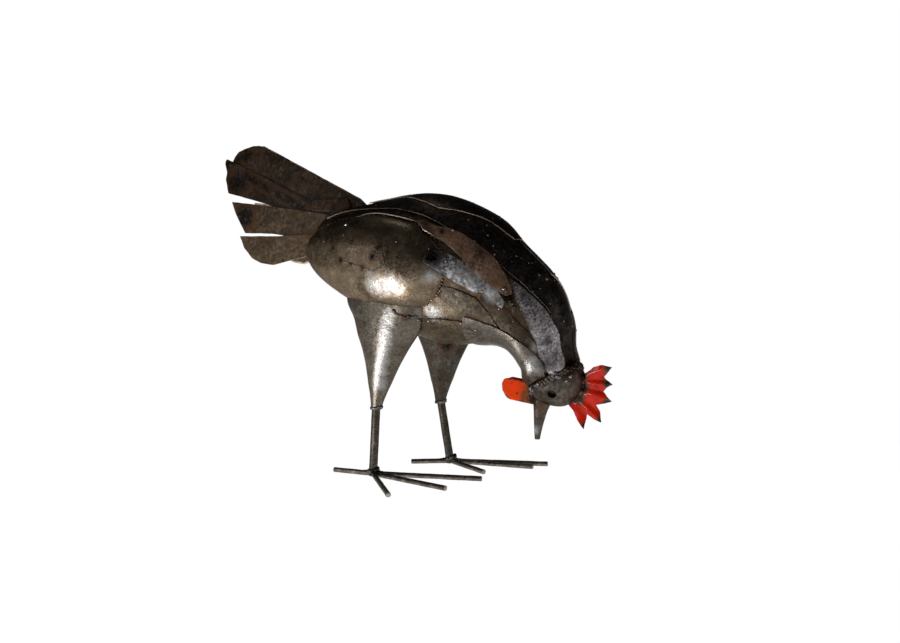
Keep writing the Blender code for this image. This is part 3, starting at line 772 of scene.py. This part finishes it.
# Each plate's layer and its outline, in stations and degrees from the top
CENTRE_PLATES = {
    "spine_plate": (2, ((2.75, 9), (3.4, 11), (3.9, 14), (4.3, 19), (4.7, 25), (5.0, 29),
                        (5.3, 31), (5.7, 26), (6.3, 16), (6.9, 8))),
    "nape_plate": (0, ((8.2, 14), (8.5, 24), (9.1, 34), (9.6, 38), (10.4, 43), (11.08, 46))),
}
# The throat plate is given along one side, and then where it crosses the keel
THROAT_PLATE = (1, ((7.25, 113), (7.4, 112), (7.95, 109), (8.6, 101), (9.25, 88), (9.8, 76),
                    (10.4, 68), (11.0, 74)), (11.15, 7.9))
SIDE_PLATES = {
    "back_feather_1": (1, ((1.7, 42), (2.2, 34), (2.8, 26), (3.6, 15), (6.0, 12), (7.0, 10), (7.0, 3),
                           (8.0, 3), (8.13, 12), (8.45, 24), (8.95, 33), (8.2, 43), (7.5, 47), (6.9, 45),
                           (6.3, 48), (5.9, 48), (5.4, 45), (4.7, 41), (4.0, 36), (3.2, 34),
                           (2.6, 33), (2.1, 37))),
    "back_feather_2": (0, ((1.95, 50), (2.2, 40), (3.0, 37), (4.2, 39), (5.1, 47), (4.75, 51),
                           (3.8, 48), (3.0, 48), (2.3, 56))),
    "shoulder_feather": (2, ((4.9, 49), (5.27, 58), (5.81, 61), (6.3, 65.5), (6.77, 70), (7.35, 71),
                             (7.8, 69), (7.98, 62), (7.8, 56), (7.36, 50), (6.94, 45), (6.35, 47),
                             (6.06, 47), (5.5, 50), (5.1, 47))),
    "wing_feather_1": (1, ((5.62, 82), (5.62, 76), (5.76, 71.5), (6.05, 69), (7.3, 67), (8.0, 73),
                           (8.06, 80), (7.94, 81), (7.38, 80), (7.23, 86), (6.75, 88.5), (6.4, 88.5),
                           (6.05, 86.5))),
    "wing_feather_2": (0, ((7.35, 78), (7.4, 90), (7.98, 95), (8.62, 103), (9.5, 92), (9.95, 76),
                           (9.75, 66), (9.3, 70.5), (8.6, 77))),
    "wing_feather_3": (0, ((6.22, 97), (6.12, 105), (7.1, 112.5), (7.9, 110.5), (8.5, 104),
                           (7.9, 96), (7.31, 91.5), (6.5, 95))),
    "neck_feather": (2, ((7.6, 51), (8.13, 62.5), (8.45, 63.5), (9.06, 68), (9.6, 66), (9.95, 70),
                         (10.4, 64), (10.8, 66), (11.05, 60), (11.05, 33), (10.5, 27.5), (9.52, 29),
                         (9.15, 36), (8.23, 46))),
    "belly_plate": (0, ((5.7, 128), (7.2, 121), (8.0, 125), (8.2, 150), (8.2, 178), (7.3, 178),
                        (6.8, 155), (6.0, 140))),
}


def beaten_plate(outline, layer, side=1):
    """A plate beaten down on the body, and over the flank's dome where it crosses it."""
    bm = cut_sheet(round_corners(outline, PLATE_MEASURE), PLATE_GRID)
    free_tip = min(at for at, turn in outline) if layer > 1 else -1
    for vert in bm.verts:
        at, turn = vert.co.x, side * math.radians(vert.co.y)
        inner = body_point(at, turn)
        out = body_normal(at, turn)
        hits = [tree.ray_cast(inner + out * FAR_OUT, -out, FAR_OUT)[3] for tree in dome_trees]
        proud = max([FAR_OUT - distance for distance in hits if distance is not None], default=0)
        lift = LIFT + layer * (SHEET + PLATE_GAP) * min(1, TIP_LIFT + at - free_tip)
        vert.co = inner + out * (max(proud, 0) + lift + hammered(inner))
    return bm


black_plate = old_steel("blackened plate steel", (0.008, 0.007, 0.006), (0.020, 0.017, 0.014),
                        (0.08, 0.071, 0.065), rust=0.2, rust_colour=(0.05, 0.025, 0.015),
                        rough=(0.20, 0.40), shift=17.0)
brown_plate = old_steel("brown shoulder steel", (0.03, 0.016, 0.009), (0.19, 0.104, 0.062),
                        (0.38, 0.24, 0.16), rust=0.6, rust_colour=(0.17, 0.08, 0.045),
                        rough=(0.32, 0.52), shift=19.0, metal=0.45, grain_size=0.0024)
zinc_plate = old_steel("grey wing steel", (0.045, 0.037, 0.03), (0.21, 0.19, 0.17), (0.85, 0.88, 0.93),
                       rough=(0.16, 0.32), shift=21.0)
olive_plate = old_steel("olive wing steel", (0.012, 0.009, 0.006), (0.028, 0.022, 0.015),
                        (0.08, 0.065, 0.046), rust=0.3, rough=(0.24, 0.40), shift=23.0)
neck_plate = old_steel("speckled neck steel", (0.05, 0.036, 0.034), (0.15, 0.128, 0.128),
                       (0.80, 0.76, 0.80), rough=(0.18, 0.36), shift=25.0, grain_size=0.0024)
throat_steel = old_steel("polished throat steel", (0.05, 0.043, 0.034), (0.10, 0.088, 0.073),
                         (0.17, 0.155, 0.133), rust=0.12, rough=(0.17, 0.28), shift=27.0)
cut_edge = old_steel("bare cut edge", (0.22, 0.155, 0.105), (0.45, 0.36, 0.27), (0.75, 0.66, 0.56),
                     rust=0.2, rough=(0.25, 0.42), shift=2.2, metal=1.0)
PLATE_FINISH = {
    "spine_plate": (black_plate, "black_steel"), "nape_plate": (black_plate, "black_steel"),
    "back_feather_1": (black_plate, "black_steel"), "back_feather_2": (black_plate, "black_steel"),
    "shoulder_feather": (brown_plate, "brown_steel"), "wing_feather_1": (zinc_plate, "zinc_steel"),
    "wing_feather_2": (olive_plate, "zinc_steel"), "wing_feather_3": (olive_plate, "zinc_steel"),
    "neck_feather": (neck_plate, "zinc_steel"), "belly_plate": (body_steel, "beaten_steel"),
    "throat_plate": (throat_steel, "beaten_steel"),
}


def lay_plate(plate, node, outline, layer, side=1):
    bm = beaten_plate(outline, layer, side)
    middle = sum((body_middle(at) for at, turn in outline), Vector()) / len(outline)
    rim_nearness = give_thickness(bm, middle)
    finish, slot = PLATE_FINISH[plate]
    set_down(node + "_sheet", bm, [finish, cut_edge], [node], rim_nearness)


for plate, (layer, edge) in CENTRE_PLATES.items():
    lay_plate(plate, plate, list(edge) + [(at, -turn) for at, turn in reversed(edge)], layer)
layer, edge, keel = THROAT_PLATE
throat_outline = list(edge) + [(keel[0], 180)] + [(at, 360 - turn) for at, turn in reversed(edge)]
lay_plate("throat_plate", "throat_plate", throat_outline + [(keel[1], 180)], layer)
for plate, (layer, outline) in SIDE_PLATES.items():
    for side_name, side in SIDES.items():
        number = plate[-2:] if plate[-1].isdigit() else ""
        lay_plate(plate, plate.removesuffix(number) + "_" + side_name + number, outline, layer, side)

# The head and beak
# The head is a small beaten ball, drilled for its eyes and welded to the neck with a rough
# seam. The beak is a bar forged to a point and stuck under it.
HEAD_CENTRE = (190, 0, 119)
HEAD_HALF = (34, 28, 30)
EYE_PLACE = (197, 28, 104)
EYE_DIAMETER = 10
EYE_DEPTH = 6
BEAK = (
    (175, 0, 112, 9.0), (173, 0, 100, 10.5), (172, 0, 90, 9.6), (170, 0, 80, 7.4), (167.5, 0, 62, 4.6),
    (166.5, 0, 50, 3.0),
)
BEAK_STEPS = 10
BEAK_SIDES = 32
HEAD_DENTS_CLOSER = 1.6
HEAD_PITS = 0.3 * MM
HEAD_PIT_SIZE = 6 * MM


def beaten_head():
    bm = bmesh.new()
    bmesh.ops.create_uvsphere(bm, u_segments=72, v_segments=56, radius=1)
    centre = in_place(*HEAD_CENTRE)
    for vert in bm.verts:
        out = Vector([vert.co[k] / HEAD_HALF[k] for k in range(3)]).normalized()
        place = centre + Vector([vert.co[k] * HEAD_HALF[k] for k in range(3)]) * MM
        pits = HEAD_PITS * noise.noise(place / HEAD_PIT_SIZE)
        vert.co = place + out * (hammered(place * HEAD_DENTS_CLOSER) + pits)
    bmesh.ops.recalc_face_normals(bm, faces=bm.faces)
    return bm


def drill_eyes(piece):
    centre = in_place(*HEAD_CENTRE)
    for side in (-1, 1):
        eye = in_place(EYE_PLACE[0], side * EYE_PLACE[1], EYE_PLACE[2])
        out = (eye - centre).normalized()
        reach = 1 / math.sqrt(sum((out[k] / (HEAD_HALF[k] * MM)) ** 2 for k in range(3)))
        bm = bmesh.new()
        bmesh.ops.create_cone(bm, cap_ends=True, segments=32, radius1=EYE_DIAMETER / 2 * MM,
                              radius2=EYE_DIAMETER / 2 * MM, depth=2 * EYE_DEPTH * MM)
        turn = out.to_track_quat("Z", "Y").to_matrix().to_4x4()
        bmesh.ops.transform(bm, matrix=Matrix.Translation(centre + out * reach) @ turn, verts=bm.verts)
        drill = new_object("eye drill", bm)
        hole = piece.modifiers.new("eye", "BOOLEAN")
        hole.object = drill
        hole.operation = "DIFFERENCE"
        bpy.context.view_layer.update()
        drilled = piece.evaluated_get(bpy.context.evaluated_depsgraph_get())
        mesh = bpy.data.meshes.new_from_object(drilled)
        piece.modifiers.clear()
        piece.data = mesh
        bpy.data.objects.remove(drill)


head_steel = old_steel("pitted head steel", (0.025, 0.02, 0.015), (0.075, 0.061, 0.047), (0.15, 0.13, 0.105),
                       rust=0.3, rough=(0.22, 0.38), shift=31.0)
head = set_down("head_ball", beaten_head(), [head_steel], ["head_shell"])
drill_eyes(head)
beak_rings = []
for number in range((len(BEAK) - 1) * BEAK_STEPS + 1):
    at = number / BEAK_STEPS
    x, y, z, radius = (smooth_between(column, at) for column in zip(*BEAK))
    angles = [2 * math.pi * i / BEAK_SIDES for i in range(BEAK_SIDES)]
    beak_rings.append([in_place(x + radius * math.cos(angle), y + radius * math.sin(angle), z)
                       for angle in angles])
set_down("beak_bar", closed_loft(beak_rings), [head_steel], ["beak"])

# The comb and wattle
# The comb is snipped with jagged points from red enamelled sheet and welded on edge to the
# head. The wattle is a strip of orange drum sheet folded along its length, stuck under it.
COMB = (
    (205, 92), (211, 86), (216, 76), (225, 66), (227, 83), (236, 78), (246, 75), (242, 87),
    (238, 94), (248, 96), (258, 99), (246, 109), (251, 114), (259, 118), (250, 122),
    (247, 125), (253, 131), (258, 137), (246, 139), (236, 136), (228, 130), (216, 124),
)
COMB_GRID = (1.5, 1.5)
COMB_ROUND = 0.8
COMB_WAVE = 1.5 * MM
COMB_WAVE_SIZE = 14 * MM
WATTLE_BACK = 123
WATTLE_FRONT = 168
WATTLE_TOP = 117
WATTLE_BOTTOM = 92
WATTLE_HALF_WIDTH = 7
WATTLE_DROP = 6
WATTLE_ROUND = 0.22
WATTLE_BLUNT = 0.4
# Patterns in the paint, given as those in the steel are
CRAZING = (0.012, 0.35, 0.65)
EDGE_CHIPS = (0.004, 0.25, 0.6)
STRAY_CHIPS = (0.006, 0.63, 0.68, 4.0)
SCORCH_EDGE = (0.005, 0.3, 0.7)
CHIP_SHOWN = (0.3, 0.5)
SCORCH_SHOWN = (0.12, 0.3)
BURNT_OFF = (0.38, 0.5)
SCORCH_COLOUR = (0.10, 0.055, 0.022)
CHIP_COLOUR = (0.025, 0.017, 0.013)


def chipped_paint(name, paint, deep, rough, coat):
    """Paint on steel, crazed, scorched brown by the weld and chipped back to black along its edges."""
    made, tree, shader = new_finish(name)
    place = add_node(tree, "TexCoord").outputs["Object"]
    colour = blend(tree, blotches(tree, place, *CRAZING), paint, deep)
    near = combine(tree, combine(tree, mark(tree, "edge"), 1.2), blotches(tree, place, *EDGE_CHIPS))
    chipped = combine(tree, ramp(tree, near, *CHIP_SHOWN), blotches(tree, place, *STRAY_CHIPS), "ADD")
    uneven = ramp(tree, blotches(tree, place, *SCORCH_EDGE), least=0.45)
    ragged = combine(tree, mark(tree, "burnt"), uneven)
    scorched = combine(tree, ramp(tree, ragged, *SCORCH_SHOWN), 0.85)
    colour = blend(tree, scorched, colour, SCORCH_COLOUR)
    chipped = combine(tree, chipped, ramp(tree, ragged, *BURNT_OFF), "ADD")
    colour = blend(tree, chipped, colour, CHIP_COLOUR)
    lumps = add_node(tree, "TexNoise", {"Vector": place, "Scale": 1 / 0.005, "Detail": 3.0})
    bump = add_node(tree, "Bump", {"Height": lumps.outputs["Fac"], "Strength": 0.5, "Distance": 0.0008})
    fill_sockets(tree, shader, {
        "Base Color": colour, "Roughness": ramp(tree, chipped, least=rough, most=0.55),
        "Normal": bump.outputs["Normal"], "Specular IOR Level": 0.03, "Coat Weight": coat,
        "Coat Roughness": 0.08,
    })
    return made


red_enamel = chipped_paint("red enamel", (0.74, 0.022, 0.004), (0.48, 0.010, 0.003), rough=0.12, coat=0.35)
orange_paint = chipped_paint("worn orange paint", (0.84, 0.044, 0.001), (0.60, 0.046, 0.003), rough=0.45,
                             coat=0.0)
# The comb's five points and the notches between them, as degrees round the middle of the head
COMB_POINTS = (-57, -44, -38, -32, -16, -10, -1, 3, 15)
COMB_CUPPING = 1.9
COMB_FLAT_TO = 36
COMB_CUPPED_OVER = 22


def cupped(x, z):
    """How far the comb bulges at a place: out along each point's middle, back at each notch."""
    turn = math.degrees(math.atan2(z - HEAD_CENTRE[2], x - HEAD_CENTRE[0]))
    turn = min(max(turn, COMB_POINTS[0]), COMB_POINTS[-1])
    out = math.hypot(z - HEAD_CENTRE[2], x - HEAD_CENTRE[0])
    share = min(1, max(0, (out - COMB_FLAT_TO) / COMB_CUPPED_OVER))
    return COMB_CUPPING * math.cos(math.pi * passed(COMB_POINTS, turn)) * share


bm = cut_sheet(round_corners(COMB, (1, 1), COMB_ROUND), COMB_GRID)
for vert in bm.verts:
    x, z = vert.co.x, vert.co.y
    place = in_place(x, -cupped(x, z), z)
    vert.co = place + Vector((0, 1, 0)) * COMB_WAVE * noise.noise(place / COMB_WAVE_SIZE)
comb_right = in_place(220, -500, 110)
rim_nearness = give_thickness(bm, comb_right, both_ways=True)
set_down("comb_sheet", bm, [red_enamel, cut_edge], ["comb"], rim_nearness)
bm = bmesh.new()
bmesh.ops.create_grid(bm, x_segments=28, y_segments=24, size=1)
for vert in bm.verts:
    along, round_it = (vert.co.x + 1) / 2, vert.co.y * math.pi / 2
    into_round = 1 - min(along / WATTLE_ROUND, 1)
    shrink = max(math.sqrt(1 - into_round**2), WATTLE_BLUNT)
    x = WATTLE_BACK + (WATTLE_FRONT - WATTLE_BACK) * along
    middle = (WATTLE_TOP + WATTLE_BOTTOM) / 2 + WATTLE_DROP * (0.5 - along)
    height = (WATTLE_TOP - WATTLE_BOTTOM) * shrink
    vert.co = in_place(x, WATTLE_HALF_WIDTH * shrink * math.sin(round_it),
                       middle + height * (0.5 - math.cos(round_it)))
wattle_fold = in_place(145, 0, 200)
rim_nearness = give_thickness(bm, wattle_fold, both_ways=True)
set_down("wattle_strip", bm, [orange_paint, cut_edge], ["wattle"], rim_nearness)

# The welds
# Tacks and runs of electric weld, left as they cooled: bright drops on the plates' corners,
# a lumpy seam round the neck, collars at the ankles and knots between the toes.
DROP_LUMPS = 0.3
DROP_LUMPS_CLOSE = 1.6
DROPS_DIFFER = 500
TACK_FLAT = 0.6
TACK_SMALLER = 0.6
RUN_FLAT = 0.55
RUN_UNEVEN = 0.45
RUN_UNEVEN_CLOSE = 0.9
drop_ball = bmesh.new()
bmesh.ops.create_icosphere(drop_ball, subdivisions=2, radius=1)
DROP_POINTS = [vert.co.copy() for vert in drop_ball.verts]
DROP_FACES = [[vert.index for vert in face.verts] for face in drop_ball.faces]
drop_ball.free()


def weld_drop(bm, place, out, size, squash=TACK_FLAT):
    """A drop of weld metal, lumpy and a little flat."""
    turn = out.to_track_quat("Z", "Y").to_matrix() @ Matrix.Diagonal((size, size, size * squash))
    made = []
    for point in DROP_POINTS:
        lump = noise.noise(point * DROP_LUMPS_CLOSE + place * DROPS_DIFFER)
        made.append(bm.verts.new(place + turn @ (point * (1 + DROP_LUMPS * lump))))
    for face in DROP_FACES:
        bm.faces.new([made[corner] for corner in face])


weld_steel = old_steel("weld metal", (0.08, 0.068, 0.058), (0.30, 0.28, 0.26), (0.8, 0.8, 0.8), rust=0.2,
                       rough=(0.14, 0.30), shift=41.0, metal=1.0)
dark_weld = old_steel("sooty weld metal", (0.012, 0.010, 0.008), (0.038, 0.032, 0.026), (0.24, 0.23, 0.22),
                      rust=0.3, rough=(0.16, 0.36), shift=43.0)
copper_weld = old_steel("browned weld bead", (0.05, 0.03, 0.018), (0.15, 0.10, 0.066), (0.42, 0.33, 0.26),
                        rust=0.3, rough=(0.2, 0.4), shift=45.0)
surfaces = []
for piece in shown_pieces():
    if piece.name.split("_")[0] not in ("shank", "toe", "beak", "comb", "wattle"):
        surfaces.append(BVHTree.FromPolygons([v.co for v in piece.data.vertices],
                                             [p.vertices for p in piece.data.polygons]))


def first_steel(start, way, reach):
    """Where a line first meets the sheet steel, and the way out there."""
    hits = [tree.ray_cast(start, way, reach) for tree in surfaces]
    return min((hit for hit in hits if hit[0] is not None), key=lambda hit: hit[3])[:2]


def nearest_steel(place):
    """The nearest place on the sheet steel, and the way out there."""
    return min((tree.find_nearest(place) for tree in surfaces), key=lambda hit: hit[3])[:2]


def tack_at(bm, at, turn, size, squash=TACK_FLAT):
    """A drop on the outermost sheet at a station, turned by an angle from the top."""
    inner, out = body_point(at, turn), body_normal(at, turn)
    place, out = first_steel(inner + out * FAR_OUT, -out, FAR_OUT + 10 * MM)
    weld_drop(bm, place, out, size * MM, squash)


def weld_run(bm, path, size, gap, wander):
    """A run of weld along a path of points in mm: overlapping drops, uneven in size and line."""
    for start, end in zip(path, path[1:]):
        start, end = Vector(start), Vector(end)
        count = max(1, round((end - start).length / gap))
        for number in range(count):
            aim = start.lerp(end, number / count)
            jitter = noise.noise_vector(aim * RUN_UNEVEN_CLOSE)
            place, out = nearest_steel(in_place(*(aim + jitter * wander)))
            weld_drop(bm, place, out, size * MM * (1 + RUN_UNEVEN * jitter.x), RUN_FLAT)


def run_both_sides(bm, path, size, gap, wander):
    for side in (-1, 1):
        weld_run(bm, [(x, side * y, z) for x, y, z in path], size, gap, wander)


bm = bmesh.new()
for at, turn, size in TACKS:
    for side in (-1, 1):
        tack_at(bm, at, side * math.radians(turn), size * TACK_SMALLER)
# Blobs by the dome, and spatter on the tail: forward, left and up, and size in mm
BLOBS = (
    (-44, 74, 294, 3.0), (29, 49, 300, 2.4), (-135.5, 10.2, 313.4, 2.4), (-150, 15.5, 292.5, 1.8),
    (-179.6, 19.8, 283.9, 1.3), (-174.7, 20, 280.1, 1.3), (-89.4, 9.7, 294.6, 2.0), (181, 12, 231, 2.2),
    (215, 17, 126, 2.2), (211, 20, 121, 1.6), (204, 26, 141, 2.0),
)
for place, size in on_both_sides(BLOBS):
    place, out = nearest_steel(place)
    weld_drop(bm, place, out, size)
SPATTER_DROPS = 170
SPATTER_STATIONS = (2.5, 10.6)
SPATTER_TURNS = (-85, 85)
SPATTER_SIZES = (0.35, 0.85)
SPATTER_FLAT = 0.8
spatter = random.Random(11)
for number in range(SPATTER_DROPS):
    at = spatter.uniform(*SPATTER_STATIONS)
    turn = math.radians(spatter.uniform(*SPATTER_TURNS))
    tack_at(bm, at, turn, spatter.uniform(*SPATTER_SIZES), SPATTER_FLAT)
set_down("plate_tacks", bm, [weld_steel], [])

# Thin runs: the lines beside the shoulder feather and on the nape,
# and the lower edge of the tail's cover
THIN_RUNS = (
    ((125, 40, 265), (140, 49, 252), (150, 50, 238), (159, 51, 219)),
    ((181, 12, 231), (187, 18, 219), (190, 24, 205), (197, 33, 186)),
    ((-136, 11, 313), (-110, 10, 309), (-92, 9, 308)),
)
bm = bmesh.new()
for run in THIN_RUNS:
    run_both_sides(bm, run, size=0.75, gap=1.1, wander=0.6)

# The bead that joins each dome to the body, found where the two surfaces cross
DOME_BEAD_DROPS = 96
DOME_BEAD_RISES = range(2, 70, 2)
DOME_BEAD_SIZE = 1.3
DOME_BEAD_UNEVEN = 0.8
DOME_BEAD_FLAT = 0.8
DOME_BEAD_LUMPS = 7 * MM
shell_tree = next(tree for tree, piece in zip(surfaces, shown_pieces()) if piece.name == "body")
for side in (-1, 1):
    for number in range(DOME_BEAD_DROPS):
        angle = 2 * math.pi * number / DOME_BEAD_DROPS
        for up in map(math.radians, DOME_BEAD_RISES):
            place = dome_point(side, math.cos(angle) * math.cos(up), side * math.sin(up),
                               math.sin(angle) * math.cos(up))
            near, out = shell_tree.find_nearest(place)[:2]
            if (place - near).dot(out) > 0:
                size = DOME_BEAD_SIZE + DOME_BEAD_UNEVEN * noise.noise(place / DOME_BEAD_LUMPS)
                weld_drop(bm, place, (out + Vector((0, side, 0))).normalized(), size * MM, DOME_BEAD_FLAT)
                break
set_down("weld_beads", bm, [copper_weld], [])

# The lumpy seams: round the neck's end, at the comb's root, at the thighs and the feather knot
bm = bmesh.new()
# Three rows of drops run round the neck's end, a little further up the neck in front
NECK_FORWARD_UP = Vector((0.91, 0, 0.41))
NECK_BACK_UP = Vector((-0.41, 0, 0.91))
NECK_FAR_OUT = 70 * MM
SEAM_ROWS = 3
SEAM_DROPS = 46
SEAM_RISE = 3.5
SEAM_RISE_IN_FRONT = 3
SEAM_ROW_GAP = 1.8
SEAM_WANDER = 2.5
SEAM_WANDER_CLOSE = 6
SEAM_SIZE = 2.7
SEAM_UNEVEN = 2.4
SEAM_FLAT = 0.75
for row in range(SEAM_ROWS):
    for number in range(SEAM_DROPS):
        turn = 2 * math.pi * (number + row / SEAM_ROWS) / SEAM_DROPS
        jitter = noise.noise_vector(Vector((math.cos(turn), math.sin(turn), row)) * SEAM_WANDER_CLOSE)
        rise = SEAM_RISE + SEAM_RISE_IN_FRONT * math.cos(turn) - SEAM_ROW_GAP * row + SEAM_WANDER * jitter.x
        out = (NECK_FORWARD_UP * math.cos(turn) + Vector((0, math.sin(turn), 0))).normalized()
        middle = in_place(*HEAD_CENTRE) + NECK_BACK_UP * rise * MM
        place = first_steel(middle + out * NECK_FAR_OUT, -out, NECK_FAR_OUT)[0]
        weld_drop(bm, place, out, (SEAM_SIZE + SEAM_UNEVEN * jitter.y) * MM, SEAM_FLAT)
COMB_WELD_DROPS = 26
COMB_WELD_FROM = -52
COMB_WELD_SWEEP = 90
COMB_WELD_ASIDE = 1.5
COMB_WELD_SIZE = 2.2
COMB_WELD_UNEVEN = 1.6
COMB_WELD_LUMPS = 4 * MM
for number in range(COMB_WELD_DROPS):
    turn = math.radians(COMB_WELD_FROM + COMB_WELD_SWEEP * number / (COMB_WELD_DROPS - 1))
    for side in (-1, 1):
        place = in_place(HEAD_CENTRE[0] + HEAD_HALF[0] * math.cos(turn), side * COMB_WELD_ASIDE,
                         HEAD_CENTRE[2] + HEAD_HALF[2] * math.sin(turn))
        size = COMB_WELD_SIZE + COMB_WELD_UNEVEN * noise.noise(place / COMB_WELD_LUMPS)
        weld_drop(bm, place, Vector((math.cos(turn), side, math.sin(turn))).normalized(), size * MM)
THICK_RUNS = (
    ((16, 75, 199), (24, 74, 194), (32, 69, 188), (42, 63, 190), (45, 52, 182)),
    ((153, 54, 221), (154, 47, 212), (158, 47, 205), (161, 46, 197)),
    ((174, 23, 112), (170, 16, 108), (167, 9, 106)),
)
for run in THICK_RUNS:
    run_both_sides(bm, run, size=2.4, gap=2.4, wander=3.0)
DOME_SCAR = ((-54, 88, 267), (-40, 92, 253), (-10, 95, 246), (6, 95, 241), (21, 94, 248), (20, 93, 256),
             (3, 93, 264))
run_both_sides(bm, DOME_SCAR, size=0.9, gap=1.5, wander=1.4)
set_down("weld_seams", bm, [dark_weld], [])

# Collars at the ankles, and the knots and webs of weld that hold the toes. Each ring of drops
# has its distance from the shank, its height, its drops' size, and how far the last two vary
RING_DROPS = 14
RING_FLAT = 0.8
ANKLE_RING = dict(out=5.8, height=0, size=2.6, height_varies=3, size_varies=1.9)
FOOT_RING = dict(out=5.6, height=7, size=2.8, height_varies=4, size_varies=1.6)
TOE_KNOTS_OUT = (8, 11.5, 15)
TOE_KNOTS_HEIGHT = 5
TOE_KNOT_SIZE = 4.6
TOE_KNOT_TAPER = 0.18
bm = bmesh.new()
for side_name, side in SIDES.items():
    foot, ankle = foot_under(side), ankle_of(side_name)
    for number in range(RING_DROPS):
        angle = 2 * math.pi * number / RING_DROPS
        out = Vector((math.cos(angle), math.sin(angle), 0))
        lump = noise.noise(ankle + out * 0.8)
        for joint, ring in ((ankle, ANKLE_RING), (foot, FOOT_RING)):
            place = raised(joint + out * ring["out"] * MM, ring["height"] + ring["height_varies"] * lump)
            weld_drop(bm, place, out, (ring["size"] + ring["size_varies"] * lump) * MM, RING_FLAT)
    for length, splay in TOES[side_name].values():
        turn = side * math.radians(splay)
        along = Vector((math.cos(turn), math.sin(turn), 0))
        for reach in TOE_KNOTS_OUT:
            weld_drop(bm, raised(foot + along * reach * MM, TOE_KNOTS_HEIGHT), Vector((0, 0, 1)),
                      (TOE_KNOT_SIZE - TOE_KNOT_TAPER * reach) * MM)
set_down("leg_welds", bm, [dark_weld], [])

# The studio
# A round pale floor that throws light up under the hen, and walls that are white to the lens
# and dim to the steel. A long lamp lies on the floor, two windows stand on either side, and a
# small lamp hangs high behind.
FLOOR_RADIUS = 1.0
FLOOR_BELOW = 0.0002
bm = bmesh.new()
bmesh.ops.create_circle(bm, cap_ends=True, segments=128, radius=FLOOR_RADIUS)
floor = new_object("floor", bm)
floor.location.z = -FLOOR_BELOW
floor_paper, tree, shader = new_finish("pale floor")
fill_sockets(tree, shader, {
    "Base Color": (0.8, 0.8, 0.8, 1), "Roughness": 0.8, "Emission Color": (1, 1, 1, 1),
    "Emission Strength": 0.94,
})
floor.data.materials.append(floor_paper)
floor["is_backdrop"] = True

CAMERA_TURN = math.radians(30)
CAMERA_DOWN = math.radians(3.68)
CAMERA_AWAY = 1.495
CAMERA_ASIDE = 0.0448
CAMERA_HEIGHT = 0.275
right = Vector((math.cos(CAMERA_TURN), math.sin(CAMERA_TURN), 0))
ahead = Vector((-math.sin(CAMERA_TURN), math.cos(CAMERA_TURN), 0))
camera_data = bpy.data.cameras.new("camera")
camera_data.lens = 50
camera_data.sensor_width = 36
camera = bpy.data.objects.new("camera", camera_data)
bpy.context.scene.collection.objects.link(camera)
camera.location = between_feet + right * CAMERA_ASIDE - ahead * CAMERA_AWAY
camera.location.z += CAMERA_HEIGHT
camera.rotation_euler = (math.pi / 2 - CAMERA_DOWN, 0, CAMERA_TURN)
bpy.context.scene.camera = camera


def soft_box(name, turn, away, height, size, power, lies_flat=False):
    """A lamp behind a cloth, set by its angle left of the camera and its distance from the hen."""
    data = bpy.data.lights.new(name, "AREA")
    data.shape = "RECTANGLE"
    data.size, data.size_y = size
    data.energy = power
    lamp = bpy.data.objects.new(name, data)
    bpy.context.scene.collection.objects.link(lamp)
    angle = CAMERA_TURN - math.pi / 2 - math.radians(turn)
    lamp.location = between_feet + Vector((math.cos(angle), math.sin(angle), 0)) * away
    lamp.location.z = height
    hen_middle = in_place(0, 0, 200)
    lamp.rotation_euler = (hen_middle - lamp.location).to_track_quat("-Z", "Y").to_euler()
    if lies_flat:
        lamp.rotation_euler = (math.pi, 0, angle - math.pi / 2)
    lamp.visible_camera = False


soft_box("floor light", turn=46, away=0.50, height=0.01, size=(0.13, 0.60), power=2.7, lies_flat=True)
soft_box("left window", turn=66, away=1.2, height=0.42, size=(0.16, 0.8), power=1.6)
soft_box("right window", turn=-70, away=1.3, height=0.5, size=(0.16, 0.8), power=0.7)
soft_box("overhead light", turn=165, away=0.6, height=1.6, size=(0.25, 0.25), power=0.6)

# The lens sees a white wall all round. The steel sees a dim room, darkest overhead.
world = bpy.data.worlds.new("studio")
bpy.context.scene.world = world
world.use_nodes = True
tree = world.node_tree
up = add_node(tree, "SeparateXYZ", {0: add_node(tree, "TexCoord").outputs["Generated"]}).outputs["Z"]
dim = ramp(tree, up, low=0.05, high=0.40, least=0.26, most=0.035)
# a Mix node takes its numbers at sockets 2 and 3
wall = add_node(tree, "Mix", {0: add_node(tree, "LightPath").outputs["Is Camera Ray"], 2: dim, 3: 1.0},
                data_type="FLOAT")
fill_sockets(tree, tree.nodes["Background"], {"Strength": wall.outputs[0], "Color": (1, 1, 1, 1)})
bpy.context.scene.view_settings.view_transform = "Standard"
